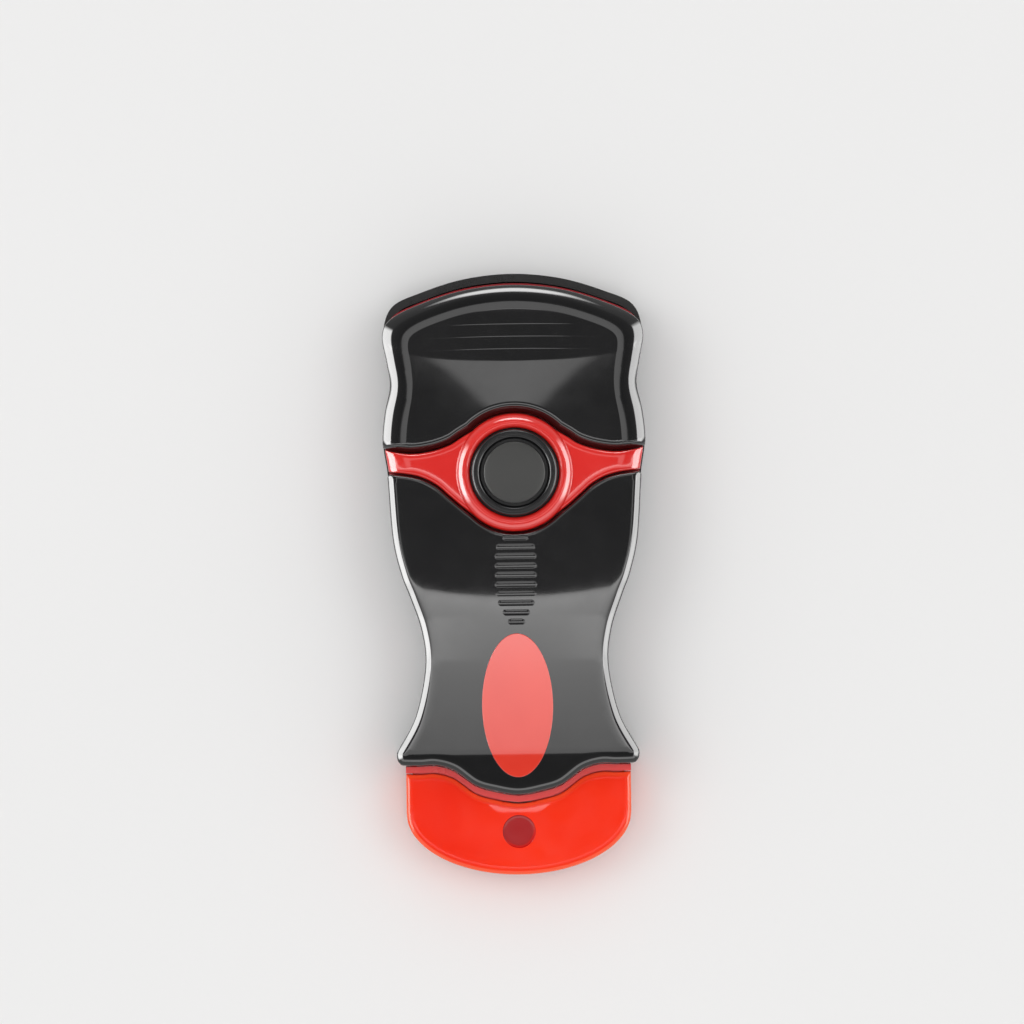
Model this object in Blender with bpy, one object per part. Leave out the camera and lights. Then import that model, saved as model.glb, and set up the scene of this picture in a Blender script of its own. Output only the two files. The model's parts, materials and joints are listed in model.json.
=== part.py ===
"""Pocket scraper: a black clamshell body on a red middle frame, a push button that unlocks
the blade holder, and a blade cap that pulls off over the blade.

It lies on its back: front face +Z, grip end +Y, nose and cap -Y, centred on its own box.
"""
import math

import bmesh
import bpy
from mathutils import Vector
from mathutils.geometry import delaunay_2d_cdt, intersect_line_line_2d

MM = 0.001

# Running gap and close fit between pieces, and how far a cutter overruns what it cuts
GAP = 0.3 * MM
FIT = 0.15 * MM
OVERRUN = 1.0 * MM

# Lengths along the body
GRIP_LENGTH = 37.2 * MM
NOSE_LENGTH = 59.6 * MM
CAP_REACH = 15.5 * MM

# Half width at the grip end, and how far the other stations of the side stand in or out from it
GRIP_HALF = 24.3 * MM
PINCH_IN = 1.35 * MM
BAND_OUT = 0.15 * MM
HIP_IN = 1.5 * MM
WAIST_IN = 7.24 * MM

# Grip end and lip, seen from the front
CROWN_RADIUS = 45.3 * MM
COVER_SETBACK = 2.0 * MM
FRAME_SETBACK = 1.2 * MM
LIP_DROP = 5.7 * MM

# Back shell
WALL = 1.5 * MM
FLOOR = 1.8 * MM
BACK_FILLET = 2.6 * MM
RAIL_WALL = 1.4 * MM

# Middle frame
PLATE = 1.4 * MM
FRAME_RECESS = 0.35 * MM
BAND_SINK = 0.35 * MM
BAND_FILLET = 0.7 * MM
RING_RADIUS = 11.0 * MM
RING_RISE = 7.0 * MM
RING_LIP = 3.6 * MM

# Heights of the front covers above their seat on the frame
END_RISE = 4.4 * MM
GRIP_RISE = 6.3 * MM
HIP_RISE = 5.9 * MM
LIP_RISE = 4.3 * MM
CROWN = 1.0 * MM
RIM_FILLET = 1.6 * MM
SHOULDER_DROP = 0.6 * MM
SHOULDER_REACH = 6.0 * MM
COVER_WALL = 1.7 * MM

# Cross grooves of the grip cover and thumb ribs of the nose cover
GROOVE_PITCH = 2.3 * MM
GROOVE_WIDTH = 0.9 * MM
GROOVE_DEPTH = 0.35 * MM
FIRST_GROOVE = 9.4 * MM
GROOVE_HALF = 18.0 * MM
GROOVE_SHARES = (0.72, 0.98, 1.0, 0.7)
RIB_PITCH = 1.75 * MM
RIB_WIDTH = 0.9 * MM
RIB_RISE = 0.3 * MM
RIB_SHARES = (0.62, 0.93, 1.0, 1.0, 1.0, 1.0, 0.95, 0.86, 0.64, 0.4)
RIB_HALF = 3.9 * MM
FIRST_RIB = 12.0 * MM

# Oval inlay in the nose cover
INLAY_HALF_WIDTH = 6.6 * MM
INLAY_HALF_LENGTH = 13.4 * MM
INLAY_FROM_LIP = 16.3 * MM
INLAY_DEPTH = 1.0 * MM
INLAY_PROUD = 0.25 * MM

# Push button
BUTTON_RADIUS = 8.0 * MM
BUTTON_PROUD = 0.9 * MM
BUTTON_TRAVEL = 1.6 * MM
BUTTON_RIM = 1.5 * MM
BUTTON_SKIRT = 1.3 * MM
BUTTON_TOP = 1.2 * MM
BUTTON_DISH = 1.1 * MM
INSERT_RADIUS = 5.7 * MM
INSERT_THICKNESS = 0.8 * MM
FLANGE = 0.9 * MM
FLANGE_HEIGHT = 1.2 * MM
STEM_RADIUS = 1.7 * MM
TUBE_WALL = 0.8 * MM
TUBE_HEIGHT = 1.8 * MM

# Button spring
SPRING_WIRE = 0.6 * MM
SPRING_RADIUS = 3.6 * MM
SPRING_TURNS = 4
SPRING_POINTS = 10

# Lock leaf and its screw
LEAF = 0.4 * MM
LEAF_WIDTH = 6.0 * MM
LEAF_NOSE = 6.5 * MM
TOOTH_LENGTH = 1.6 * MM
TOOTH_RISE = 1.2 * MM
LEAF_SCREW_RADIUS = 1.1 * MM
LEAF_SCREW_HEAD = 2.0 * MM

# Blade holder
STROKE = 12.0 * MM
SHANK_HALF = 7.0 * MM
SHANK = 2.8 * MM
SHANK_END = 3.0 * MM
HEAD_MARGIN = 0.25 * MM
HEAD_EXTRA = 0.8 * MM
SHOULDER_LENGTH = 6.0 * MM
COLLAR = 1.2 * MM
COLLAR_HEIGHT = 8.6 * MM
JAW = 4.6 * MM

# Blade, its spine, clamp and clamp screws
BLADE = 0.25 * MM
BLADE_HALF = 19.05 * MM
BLADE_DEPTH = 14.8 * MM
BLADE_SHOW = 3.6 * MM
BEVEL = 1.2 * MM
SPINE = 2.4 * MM
SPINE_SHEET = 0.35 * MM
CLAMP = 0.8 * MM
CLAMP_HALF = 9.0 * MM
CLAMP_LENGTH = 3.8 * MM
CLAMP_SCREW_X = 5.5 * MM
CLAMP_SCREW_RADIUS = 0.9 * MM
CLAMP_SCREW_HEAD = 1.6 * MM

# Blade cap
CAP_SLACK = 0.5 * MM
NOSE_MARGIN = 1.6 * MM
CAP_ROUND = 11.65 * MM
CAP_HEIGHT = 8.0 * MM
CAP_WALL = 1.2 * MM
CAP_FILLET = 0.9 * MM
DIMPLE_RADIUS = 3.1 * MM
DIMPLE_DEPTH = 0.6 * MM
DIMPLE_FROM_END = 8.1 * MM

# Case screws, from the back into the bosses of the covers
SCREW_RADIUS = 1.2 * MM
SCREW_HEAD = 2.2 * MM
SCREW_HEAD_HEIGHT = 1.1 * MM
SCREW_SINK = 0.4 * MM
SCREW_GRIP = 2.4 * MM
BOSS_WALL = 1.3 * MM
GRIP_SCREW_X = 16.0 * MM
GRIP_SCREW_AT = 18.0 * MM
NOSE_SCREW_X = 12.2 * MM
NOSE_SCREW_AT = 30.5 * MM

# Half widths that follow from these
PINCH_HALF = GRIP_HALF - PINCH_IN
BAND_HALF = GRIP_HALF + BAND_OUT
HIP_HALF = GRIP_HALF - HIP_IN
WAIST_HALF = GRIP_HALF - WAIST_IN
HEAD_HALF = BLADE_HALF + HEAD_MARGIN
CAP_HALF = HEAD_HALF + CAP_SLACK + CAP_WALL
NOSE_HALF = CAP_HALF + NOSE_MARGIN

# Levels above the back face
LEAF_Z = FLOOR + BUTTON_TRAVEL + FIT
SHANK_Z = LEAF_Z + LEAF + GAP
PARTING_Z = SHANK_Z + SHANK
PLATE_Z = PARTING_Z + GAP
PLATE_TOP_Z = PLATE_Z + PLATE
COVER_Z = PLATE_TOP_Z + GAP
HEAD_Z = SHANK_Z - HEAD_EXTRA
HOLDER_MID_Z = (HEAD_Z + PARTING_Z) / 2
BLADE_Z = HOLDER_MID_Z + FIT

# Places along the body
TOTAL_LENGTH = GRIP_LENGTH + NOSE_LENGTH + CAP_REACH
GRIP_END_Y = TOTAL_LENGTH / 2
BUTTON_Y = GRIP_END_Y - GRIP_LENGTH
LIP_Y = BUTTON_Y - NOSE_LENGTH
CAP_END_Y = LIP_Y - CAP_REACH
COLLAR_Y = LIP_Y - GAP
JAW_Y = COLLAR_Y - COLLAR
BLADE_EDGE_Y = JAW_Y - BLADE_SHOW
BLADE_BACK_Y = BLADE_EDGE_Y + BLADE_DEPTH
SHANK_END_Y = BUTTON_Y + STROKE + STEM_RADIUS + GAP + SHANK_END
BUTTON_BORE = BUTTON_RADIUS + GAP
STEM_HOLE = STEM_RADIUS + GAP
STEM_Z = LEAF_Z + LEAF + GAP
RING_TOP_Z = COVER_Z + RING_RISE
BUTTON_Z = RING_TOP_Z + BUTTON_PROUD
BUTTON_DISH_Z = BUTTON_Z - BUTTON_DISH
LEAF_SCREW_Y = SHANK_END_Y + GAP + LEAF_WIDTH / 2
LEAF_SCREW_HOLE = LEAF_SCREW_RADIUS + FIT
SCREW_HOLE = SCREW_RADIUS + GAP
PILOT = SCREW_RADIUS + FIT
SCREW_SEAT_Z = SCREW_SINK + SCREW_HEAD_HEIGHT + FIT
SPINE_BACK_Y = BLADE_BACK_Y + FIT + SPINE_SHEET
SPINE_FRONT_Y = SPINE_BACK_Y - SPINE
SPINE_Z = BLADE_Z - FIT - SPINE_SHEET
CLAMP_Z = BLADE_Z + BLADE + FIT
CLAMP_Y = SPINE_FRONT_Y - GAP - CLAMP_LENGTH / 2
RAIL_LOW_Y = SPINE_BACK_Y + GAP + SHOULDER_LENGTH + OVERRUN

# Shapes of the outlines, as shares of the sizes that they follow
CROWN_SHARES = (0, 0.37, 0.7, 0.93)
GRIP_SIDE_SHARES = ((GRIP_HALF, GRIP_HALF, 0, 0.306), (PINCH_HALF, GRIP_HALF, 0.45, 0.44),
                    (PINCH_HALF, PINCH_HALF, 0, 0.56), (PINCH_HALF, BAND_HALF, 0.7, 0.7),
                    (BAND_HALF, BAND_HALF, 0, 0.85))
NOSE_SIDE_SHARES = ((HIP_HALF, BAND_HALF, 0.5, 0.01), (HIP_HALF, HIP_HALF, 0, 0.2),
                    (WAIST_HALF, HIP_HALF, 0.74, 0.312), (WAIST_HALF, HIP_HALF, 0.46, 0.384),
                    (WAIST_HALF, HIP_HALF, 0.106, 0.487), (WAIST_HALF, WAIST_HALF, 0, 0.6),
                    (WAIST_HALF, NOSE_HALF, 0.345, 0.752))
CORNER_SHARES = ((1, 1.35), (0.996, 1.2), (0.965, 1.04))
LIP_SHARES = ((0.925, 0.99), (0.8, 0.985), (0.68, 1.0), (0.53, 0.82), (0.36, 0.33), (0.2, 0.13), (0, 0))
BAND_TOP_SHARES = ((1.02, 0.41), (0.8, 0.335), (0.63, 0.375), (0.49, 0.475), (0.4, 0.6))
BAND_LOW_SHARES = ((1.02, 0.04), (0.83, 0), (0.7, -0.07), (0.59, -0.2), (0.51, -0.355), (0.42, -0.53))
RING_START_SHARE = 0.25
CAP_TURN_SHARES = (0, 0.2, 0.4, 0.58, 0.74, 0.88, 1)

# Ridge line of the front covers: share of the grip or nose length from the button, and of the rise
GRIP_TOP_SHARE = 0.62
HIP_SHARES = (0.31, 0.25)
SLOPE_SHARES = (0.42, 0.1)

# Where the surfaces near an edge are sampled, as shares of the fillet there, and of a rolled edge
FILLET_SHARES = (0.12, 0.45, 1)
SHOULDER_SHARE = 0.6
ROLL_SHARE = 0.3

# Round ends and heads: shares of their radius or height
TIP_SHARE = 0.6
HEAD_TOP_SHARE = 0.7
DIMPLE_FLOOR_SHARE = 0.84
EDGE_SHARE = 0.15
SHOULDER_WIDTH_SHARE = 0.7
SHOULDER_LENGTH_SHARE = 0.45

# Points to a span of a curve and to a turn of round pieces, and the grid of the domed surfaces
STEPS = 2
RING_SPANS = 6
ROUND_STEPS = 16
RING_STEPS = 32
BUTTON_STEPS = 30
SCREW_STEPS = 10
OVAL_STEPS = 28
KNOT_REACH = 6
GRID = 6.0 * MM


# Curves and loops

def smooth_curve(points, steps, before=None, after=None):
    """Catmull-Rom curve through the points, with steps pieces to a span."""
    run = [Vector(p) for p in points]
    run = [Vector(before) if before else run[0]] + run + [Vector(after) if after else run[-1]]
    curve = []
    for a, b, c, d in zip(run, run[1:], run[2:], run[3:]):
        for i in range(steps):
            t = i / steps
            line = 2 * b + (c - a) * t
            bend = (2 * a - 5 * b + 4 * c - d) * t ** 2 + (3 * b - a - 3 * c + d) * t ** 3
            curve.append((line + bend) / 2)
    curve.append(run[-2])
    return curve


def mirrored(points):
    """The points' mirror images across the centre plane, in reverse order."""
    return [Vector((-p[0], *p[1:])) for p in reversed(points)]


def blend(low, high, share):
    return low + (high - low) * share


def side_curve(setback):
    """Right side of the body from the middle of the grip end to the nose corner and the lip."""
    crown_y = GRIP_END_Y - setback
    points = []
    for share in CROWN_SHARES:
        x = share * GRIP_HALF
        points.append((x, crown_y - CROWN_RADIUS + math.sqrt(CROWN_RADIUS ** 2 - x ** 2)))
    for low, high, share, along in GRIP_SIDE_SHARES:
        points.append((blend(low, high, share), GRIP_END_Y - along * GRIP_LENGTH))
    for low, high, share, along in NOSE_SIDE_SHARES:
        points.append((blend(low, high, share), BUTTON_Y - along * NOSE_LENGTH))
    points += [(x * NOSE_HALF, LIP_Y + share * LIP_DROP) for x, share in CORNER_SHARES + LIP_SHARES]
    start = (-points[1][0], points[1][1])
    end = (-points[-2][0], points[-2][1])
    return smooth_curve(points, STEPS, start, end)


def lip_curve(half, shift):
    """The lip's S-curve out to a half width, moved towards the nose, from right to left."""
    points = [(x * NOSE_HALF, LIP_Y + share * LIP_DROP - shift) for x, share in LIP_SHARES]
    end = (-points[-2][0], points[-2][1])
    curve = smooth_curve(points, STEPS, None, end)
    right = [p for p in curve if p.x < half - OVERRUN / 2]
    right.insert(0, Vector((half, right[0].y)))
    return right + mirrored(right[:-1])


def full_loop(right):
    """The closed outline whose right side, from top to bottom, is given."""
    up = list(reversed(right))
    return up + mirrored(up[1:-1])


def body_loop(setback):
    return full_loop(side_curve(setback))


def band_edge(shares, sign, grow):
    """One edge of the cross band, from the right side in to the ring and round to its middle."""
    radius = RING_RADIUS + grow
    points = [(x * BAND_HALF, BUTTON_Y + share * RING_RADIUS + sign * grow) for x, share in shares]
    arc = []
    for i in range(RING_SPANS + 1):
        angle = math.pi * (RING_START_SHARE + (0.5 - RING_START_SHARE) * i / RING_SPANS)
        arc.append((radius * math.cos(angle), BUTTON_Y + sign * radius * math.sin(angle)))
    flare = smooth_curve(points + arc[:1], STEPS, None, arc[1])
    return flare + [Vector(p) for p in arc[1:-1]] + [Vector((0, arc[-1][1]))]


def at_height(side, y):
    """The point of a side curve at a height."""
    for a, b in zip(side, side[1:]):
        if a.y >= y >= b.y and a.y > b.y:
            return a.lerp(b, (a.y - y) / (a.y - b.y))
    return side[-1]


def inside(loop, point):
    hit = False
    for a, b in zip(loop, loop[1:] + loop[:1]):
        if (a.y > point[1]) != (b.y > point[1]):
            if point[0] < a.x + (point[1] - a.y) / (b.y - a.y) * (b.x - a.x):
                hit = not hit
    return hit


def edge_distance(loop, point):
    """Distance from a point to the nearest edge of a loop."""
    p = Vector(point[:2])
    nearest = math.inf
    for a, b in zip(loop, loop[1:] + loop[:1]):
        along = b - a
        t = max(0, min(1, (p - a).dot(along) / along.length_squared))
        nearest = min(nearest, (p - a - along * t).length)
    return nearest


def inset(loop, distance):
    """A loop moved inwards, without the points that a tight corner would fold over."""
    moved = []
    for before, here, after in zip(loop[-1:] + loop[:-1], loop, loop[1:] + loop[:1]):
        first = (here - before).normalized()
        along = (first + (after - here).normalized()).normalized()
        moved.append(here + Vector((-along.y, along.x)) * distance / along.dot(first))
    slack = distance / 50
    return untangled([p for p in moved if edge_distance(loop, p) > distance - slack and inside(loop, p)])


def untangled(loop):
    """A loop without the small knots where two of its nearby edges cross."""
    clean = list(loop)
    i = 0
    while i < len(clean):
        run = clean[i:] + clean[:i]
        for ahead in range(KNOT_REACH, 1, -1):
            crossing = intersect_line_line_2d(run[0], run[1], run[ahead], run[ahead + 1])
            if crossing:
                kept = [run[0], crossing] + run[ahead + 1:]
                clean = kept[-i:] + kept[:-i] if i else kept
                break
        i += 1
    return clean


# Solids

def remove_all():
    for old in list(bpy.data.objects):
        bpy.data.objects.remove(old, do_unlink=True)


def material(name, colour, roughness, metallic=0.0):
    mat = bpy.data.materials.get(name)
    if mat is None:
        mat = bpy.data.materials.new(name)
        mat.use_nodes = True
        shader = mat.node_tree.nodes["Principled BSDF"]
        shader.inputs["Base Color"].default_value = (*colour, 1)
        shader.inputs["Roughness"].default_value = roughness
        shader.inputs["Metallic"].default_value = metallic
    return mat


def black_plastic():
    return material("black_plastic", (0.012, 0.012, 0.013), 0.25)


def matt_plastic():
    return material("matt_plastic", (0.035, 0.035, 0.036), 0.6)


def red_plastic():
    return material("red_plastic", (0.62, 0.015, 0.02), 0.3)


def orange_plastic():
    return material("orange_plastic", (0.85, 0.06, 0.015), 0.2)


def steel():
    return material("steel", (0.62, 0.63, 0.65), 0.25, 1.0)


def add_object(name, data, mat=None):
    obj = bpy.data.objects.new(name, data)
    bpy.context.scene.collection.objects.link(obj)
    if mat:
        data.materials.append(mat)
    return obj


def finish_mesh(name, bm, mat=None):
    bmesh.ops.remove_doubles(bm, verts=bm.verts, dist=MM / 1000)
    bmesh.ops.recalc_face_normals(bm, faces=bm.faces)
    mesh = bpy.data.meshes.new(name)
    bm.to_mesh(mesh)
    bm.free()
    mesh.shade_smooth()
    mesh.set_sharp_from_angle(angle=math.radians(35))
    return add_object(name, mesh, mat)


def add_surface(bm, loop, height, falls, spacing):
    """A triangulated face inside the loop, whose points stand at height(x, y, edge distance)."""
    points = list(loop)
    for fall in falls:
        points += inset(loop, fall)
    reach = falls[-1] if falls else 0
    if spacing:
        low_x = min(p.x for p in loop)
        low_y = min(p.y for p in loop)
        columns = math.ceil((max(p.x for p in loop) - low_x) / spacing)
        rows = math.ceil((max(p.y for p in loop) - low_y) / spacing)
        for row in range(1, rows):
            for column in range(1, columns):
                p = Vector((low_x + column * spacing, low_y + row * spacing))
                if inside(loop, p) and edge_distance(loop, p) > reach + spacing / 2:
                    points.append(p)
    edges = [(i, (i + 1) % len(loop)) for i in range(len(loop))]
    flat, _, faces, _, _, _ = delaunay_2d_cdt(points, edges, [], 0, MM / 1e6)
    verts = [bm.verts.new((p.x, p.y, height(p.x, p.y, edge_distance(loop, p)))) for p in flat]
    for face in faces:
        middle = sum((flat[i] for i in face), Vector((0, 0))) / len(face)
        if inside(loop, middle):
            bm.faces.new([verts[i] for i in face])


def level(z):
    """A flat height function."""
    return lambda x, y, d: z


def fillet_fall(radius, d):
    """How far a round edge of a given radius falls, at a distance from the edge."""
    if d >= radius:
        return 0
    return radius - math.sqrt(radius ** 2 - (radius - d) ** 2)


def fillet_falls(radius):
    """The distances from the edge at which a round edge is sampled."""
    return tuple(radius * share for share in FILLET_SHARES)


def block(name, loop, low, high, mat=None, low_falls=(), high_falls=(), spacing=None):
    """A solid between two surfaces over one loop, joined by an upright wall."""
    bm = bmesh.new()
    add_surface(bm, loop, low, low_falls, spacing if low_falls else None)
    add_surface(bm, loop, high, high_falls, spacing)
    ring = [(bm.verts.new((p.x, p.y, low(p.x, p.y, 0))), bm.verts.new((p.x, p.y, high(p.x, p.y, 0))))
            for p in loop]
    for (a, b), (c, d) in zip(ring, ring[1:] + ring[:1]):
        bm.faces.new((a, c, d, b))
    return finish_mesh(name, bm, mat)


def box(name, x_range, y_range, z_range, mat=None):
    loop = [Vector(p) for p in ((x_range[0], y_range[0]), (x_range[1], y_range[0]),
                                (x_range[1], y_range[1]), (x_range[0], y_range[1]))]
    return block(name, loop, level(z_range[0]), level(z_range[1]), mat)


def turned(name, profile, x, y, steps, mat=None):
    """A solid of revolution about an upright axis; the profile runs from the axis up and back."""
    bm = bmesh.new()
    rings = []
    for radius, z in profile:
        if radius == 0:
            rings.append([bm.verts.new((x, y, z))])
            continue
        turn = [2 * math.pi * i / steps for i in range(steps)]
        rings.append([bm.verts.new((x + radius * math.cos(a), y + radius * math.sin(a), z)) for a in turn])
    closed = profile[0][0] > 0
    pairs = list(zip(rings, rings[1:] + (rings[:1] if closed else [])))
    for low, high in pairs:
        for i in range(steps):
            j = (i + 1) % steps
            corners = [low[i % len(low)], low[j % len(low)], high[j % len(high)], high[i % len(high)]]
            unique = list(dict.fromkeys(corners))
            if len(unique) > 2:
                bm.faces.new(unique)
    return finish_mesh(name, bm, mat)


def cylinder(name, radius, x, y, low, high):
    return turned(name, ((0, low), (radius, low), (radius, high), (0, high)), x, y, ROUND_STEPS)


def combine(target, tool, operation):
    """Cut a tool out of the target or join it on, and take the tool away."""
    cut = target.modifiers.new(operation.lower(), "BOOLEAN")
    cut.operation = operation
    cut.solver = "EXACT"
    cut.object = tool
    depsgraph = bpy.context.evaluated_depsgraph_get()
    bm = bmesh.new()
    bm.from_object(target, depsgraph)
    bmesh.ops.remove_doubles(bm, verts=bm.verts, dist=MM / 1000)
    bmesh.ops.triangulate(bm, faces=bm.faces)
    bmesh.ops.dissolve_degenerate(bm, edges=bm.edges, dist=MM / 1000)
    target.modifiers.remove(cut)
    bm.to_mesh(target.data)
    bm.free()
    spare = tool.data
    bpy.data.objects.remove(tool, do_unlink=True)
    bpy.data.meshes.remove(spare)


def cut_from(target, *tools):
    for tool in tools:
        combine(target, tool, "DIFFERENCE")


def join_to(target, *tools):
    for tool in tools:
        combine(target, tool, "UNION")


# Surfaces of the body

def ridge_rise(y):
    """Height of the front covers along the centre line, above their seat."""
    stations = ((GRIP_END_Y, END_RISE), (BUTTON_Y + GRIP_TOP_SHARE * GRIP_LENGTH, GRIP_RISE),
                (BUTTON_Y, GRIP_RISE),
                (BUTTON_Y - HIP_SHARES[0] * NOSE_LENGTH, blend(HIP_RISE, GRIP_RISE, HIP_SHARES[1])),
                (BUTTON_Y - SLOPE_SHARES[0] * NOSE_LENGTH, blend(HIP_RISE, LIP_RISE, SLOPE_SHARES[1])),
                (LIP_Y, LIP_RISE))
    if y >= stations[0][0]:
        return stations[0][1]
    for (high, high_rise), (low, low_rise) in zip(stations, stations[1:]):
        if high >= y >= low:
            t = (high - y) / (high - low)
            eased = t * t * (3 - 2 * t) if high > BUTTON_Y else t
            return blend(high_rise, low_rise, eased)
    return stations[-1][1]


def rim_fall(d):
    """How far a cover's surface falls near its edge: a fillet and a soft shoulder."""
    fall = fillet_fall(RIM_FILLET, d)
    if d < SHOULDER_REACH:
        fall += SHOULDER_DROP * (1 - d / SHOULDER_REACH) ** 2
    return fall


def cover_top(x, y, d):
    return COVER_Z + ridge_rise(y) - CROWN * (x / BAND_HALF) ** 2 - rim_fall(d)


def crest(x, y):
    """The covers' surface well away from their edges."""
    return cover_top(x, y, SHOULDER_REACH)


def cover_roof(x, y, d):
    return crest(x, y) - SHOULDER_DROP - COVER_WALL


def case_screw_places():
    """Two screws at the grip end, then two near the waist."""
    rows = ((GRIP_SCREW_X, GRIP_END_Y - GRIP_SCREW_AT), (NOSE_SCREW_X, BUTTON_Y - NOSE_SCREW_AT))
    return [(side * x, y) for x, y in rows for side in (1, -1)]


# Back shell

def make_back_shell():
    loop = body_loop(0)
    shell = block("back_shell", loop, lambda x, y, d: fillet_fall(BACK_FILLET, d), level(PARTING_Z),
                  black_plastic(), low_falls=fillet_falls(BACK_FILLET))
    cut_from(shell, block("hollow", inset(loop, WALL), level(FLOOR), level(PARTING_Z + OVERRUN)))
    for side in (-1, 1):
        rail_x = sorted((side * (SHANK_HALF + GAP), side * (SHANK_HALF + GAP + RAIL_WALL)))
        join_to(shell, box("rail", rail_x, (RAIL_LOW_Y, SHANK_END_Y), (FLOOR / 2, PARTING_Z)))
    for x, y in case_screw_places():
        join_to(shell, cylinder("boss", SCREW_HOLE + BOSS_WALL, x, y, FLOOR / 2, PARTING_Z))
    for x, y in case_screw_places():
        profile = ((0, -OVERRUN), (SCREW_HEAD + GAP, -OVERRUN), (SCREW_HEAD + GAP, SCREW_SEAT_Z),
                   (SCREW_HOLE, SCREW_SEAT_Z), (SCREW_HOLE, PARTING_Z + OVERRUN), (0, PARTING_Z + OVERRUN))
        cut_from(shell, turned("screw_hole", profile, x, y, ROUND_STEPS))
    boss = LEAF_SCREW_HOLE + BOSS_WALL
    join_to(shell, cylinder("leaf_boss", boss, 0, LEAF_SCREW_Y, FLOOR / 2, LEAF_Z - FIT))
    cut_from(shell, cylinder("pilot", LEAF_SCREW_HOLE, 0, LEAF_SCREW_Y, FLOOR / 2, LEAF_Z + OVERRUN))
    mouth_half = HEAD_HALF + GAP
    mouth_back = LIP_Y + LIP_DROP + WALL + OVERRUN
    cut_from(shell, box("mouth", (-mouth_half, mouth_half), (LIP_Y - OVERRUN, mouth_back),
                        (HEAD_Z - GAP, PARTING_Z + OVERRUN)))
    return shell


# Middle frame

def frame_side():
    side = full_loop(side_curve(FRAME_SETBACK))
    right = [p for p in inset(side, FRAME_RECESS) if p.x > 0]
    return sorted(right, key=lambda p: -p.y)


def edge_from_side(shares, sign, grow, side):
    """A band edge that starts on a given side curve, and the height at which it does."""
    edge = band_edge(shares, sign, grow)
    start_y = edge[0].y
    start = at_height(side, start_y)
    return [start] + [p for p in edge[1:] if p.x < start.x - OVERRUN / 2], start_y


def band_loop():
    side = frame_side()
    upper, high = edge_from_side(BAND_TOP_SHARES, 1, 0, side)
    lower, low = edge_from_side(BAND_LOW_SHARES, -1, 0, side)
    flank = [p for p in reversed(side) if low < p.y < high]
    return lower[::-1] + flank + upper + mirrored(upper[:-1]) + mirrored(flank) + mirrored_run(lower)


def mirrored_run(points):
    """The mirror images in the same order, without the last point, which lies on the centre plane."""
    return [Vector((-p.x, p.y)) for p in points[:-1]]


def band_top(x, y, d):
    return crest(x, y) - BAND_SINK - fillet_fall(BAND_FILLET, d)


def make_middle_frame():
    loop = inset(body_loop(FRAME_SETBACK), FRAME_RECESS)
    frame = block("middle_frame", loop, level(PLATE_Z), level(PLATE_TOP_Z), red_plastic())
    band = block("band", band_loop(), level(PLATE_Z + PLATE / 2), band_top,
                 high_falls=fillet_falls(BAND_FILLET)[1:], spacing=GRID)
    join_to(frame, band)
    bead = (RING_RADIUS - BUTTON_BORE) / 2
    roll = bead * ROLL_SHARE
    outer = RING_RADIUS - FIT
    inner = BUTTON_BORE - FIT
    profile = ((inner, PLATE_TOP_Z + PLATE), (outer, PLATE_TOP_Z + PLATE), (outer, RING_TOP_Z - bead + roll),
               (outer - roll, RING_TOP_Z - roll), (outer - bead, RING_TOP_Z),
               (BUTTON_BORE + 2 * roll, RING_TOP_Z), (inner, RING_TOP_Z - 2 * roll))
    join_to(frame, turned("ring", profile, 0, BUTTON_Y, RING_STEPS))
    counterbore = BUTTON_RADIUS + FLANGE + GAP
    step_z = RING_TOP_Z - RING_LIP
    open_z = RING_TOP_Z + OVERRUN
    bore = ((0, PLATE_TOP_Z), (counterbore, PLATE_TOP_Z), (counterbore, step_z), (BUTTON_BORE, step_z),
            (BUTTON_BORE, open_z), (0, open_z))
    cut_from(frame, turned("bore", bore, 0, BUTTON_Y, RING_STEPS))
    tube = STEM_HOLE + TUBE_WALL
    join_to(frame, cylinder("guide_tube", tube, 0, BUTTON_Y, PLATE_Z + PLATE / 2, PLATE_TOP_Z + TUBE_HEIGHT))
    cut_from(frame, cylinder("stem_hole", STEM_HOLE, 0, BUTTON_Y, PLATE_Z - OVERRUN, RING_TOP_Z))
    for x, y in case_screw_places():
        cut_from(frame, cylinder("screw_hole", SCREW_HOLE, x, y, PLATE_Z - OVERRUN, PLATE_TOP_Z + OVERRUN))
    return frame


# Front covers

def make_cover(name, loop, screws):
    """A front cover: a domed shell with a screw boss at each of its screws."""
    falls = (*fillet_falls(RIM_FILLET), SHOULDER_REACH * SHOULDER_SHARE)
    cover = block(name, loop, level(COVER_Z), cover_top, black_plastic(), high_falls=falls, spacing=GRID)
    cut_from(cover, block("hollow", inset(loop, COVER_WALL), level(COVER_Z - OVERRUN), cover_roof,
                          high_falls=(RIM_FILLET,), spacing=GRID))
    for x, y in screws:
        boss_top = cover_roof(x, y, 0) + COVER_WALL / 2
        join_to(cover, cylinder("boss", PILOT + BOSS_WALL, x, y, COVER_Z, boss_top))
        cut_from(cover, cylinder("pilot", PILOT, x, y, COVER_Z - OVERRUN, COVER_Z + SCREW_GRIP + GAP))
    return cover


def on_cover(loop, offset):
    """The cover's own surface over a loop, raised by an offset."""
    return lambda x, y, d: cover_top(x, y, edge_distance(loop, (x, y))) + offset


def bar_loop(half, y, width):
    """A straight bar across the body, with round ends."""
    radius = width / 2
    tip = half + radius * math.sin(math.radians(60))
    spans = 2 * max(1, round(half / GRID))
    low = [(blend(-half, half, i / spans), y - radius) for i in range(spans + 1)]
    points = low + [(tip, y - radius / 2), (tip, y + radius / 2)]
    points += [(x, y + radius) for x, _ in reversed(low)]
    points += [(-tip, y + radius / 2), (-tip, y - radius / 2)]
    return [Vector(p) for p in points]


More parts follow.
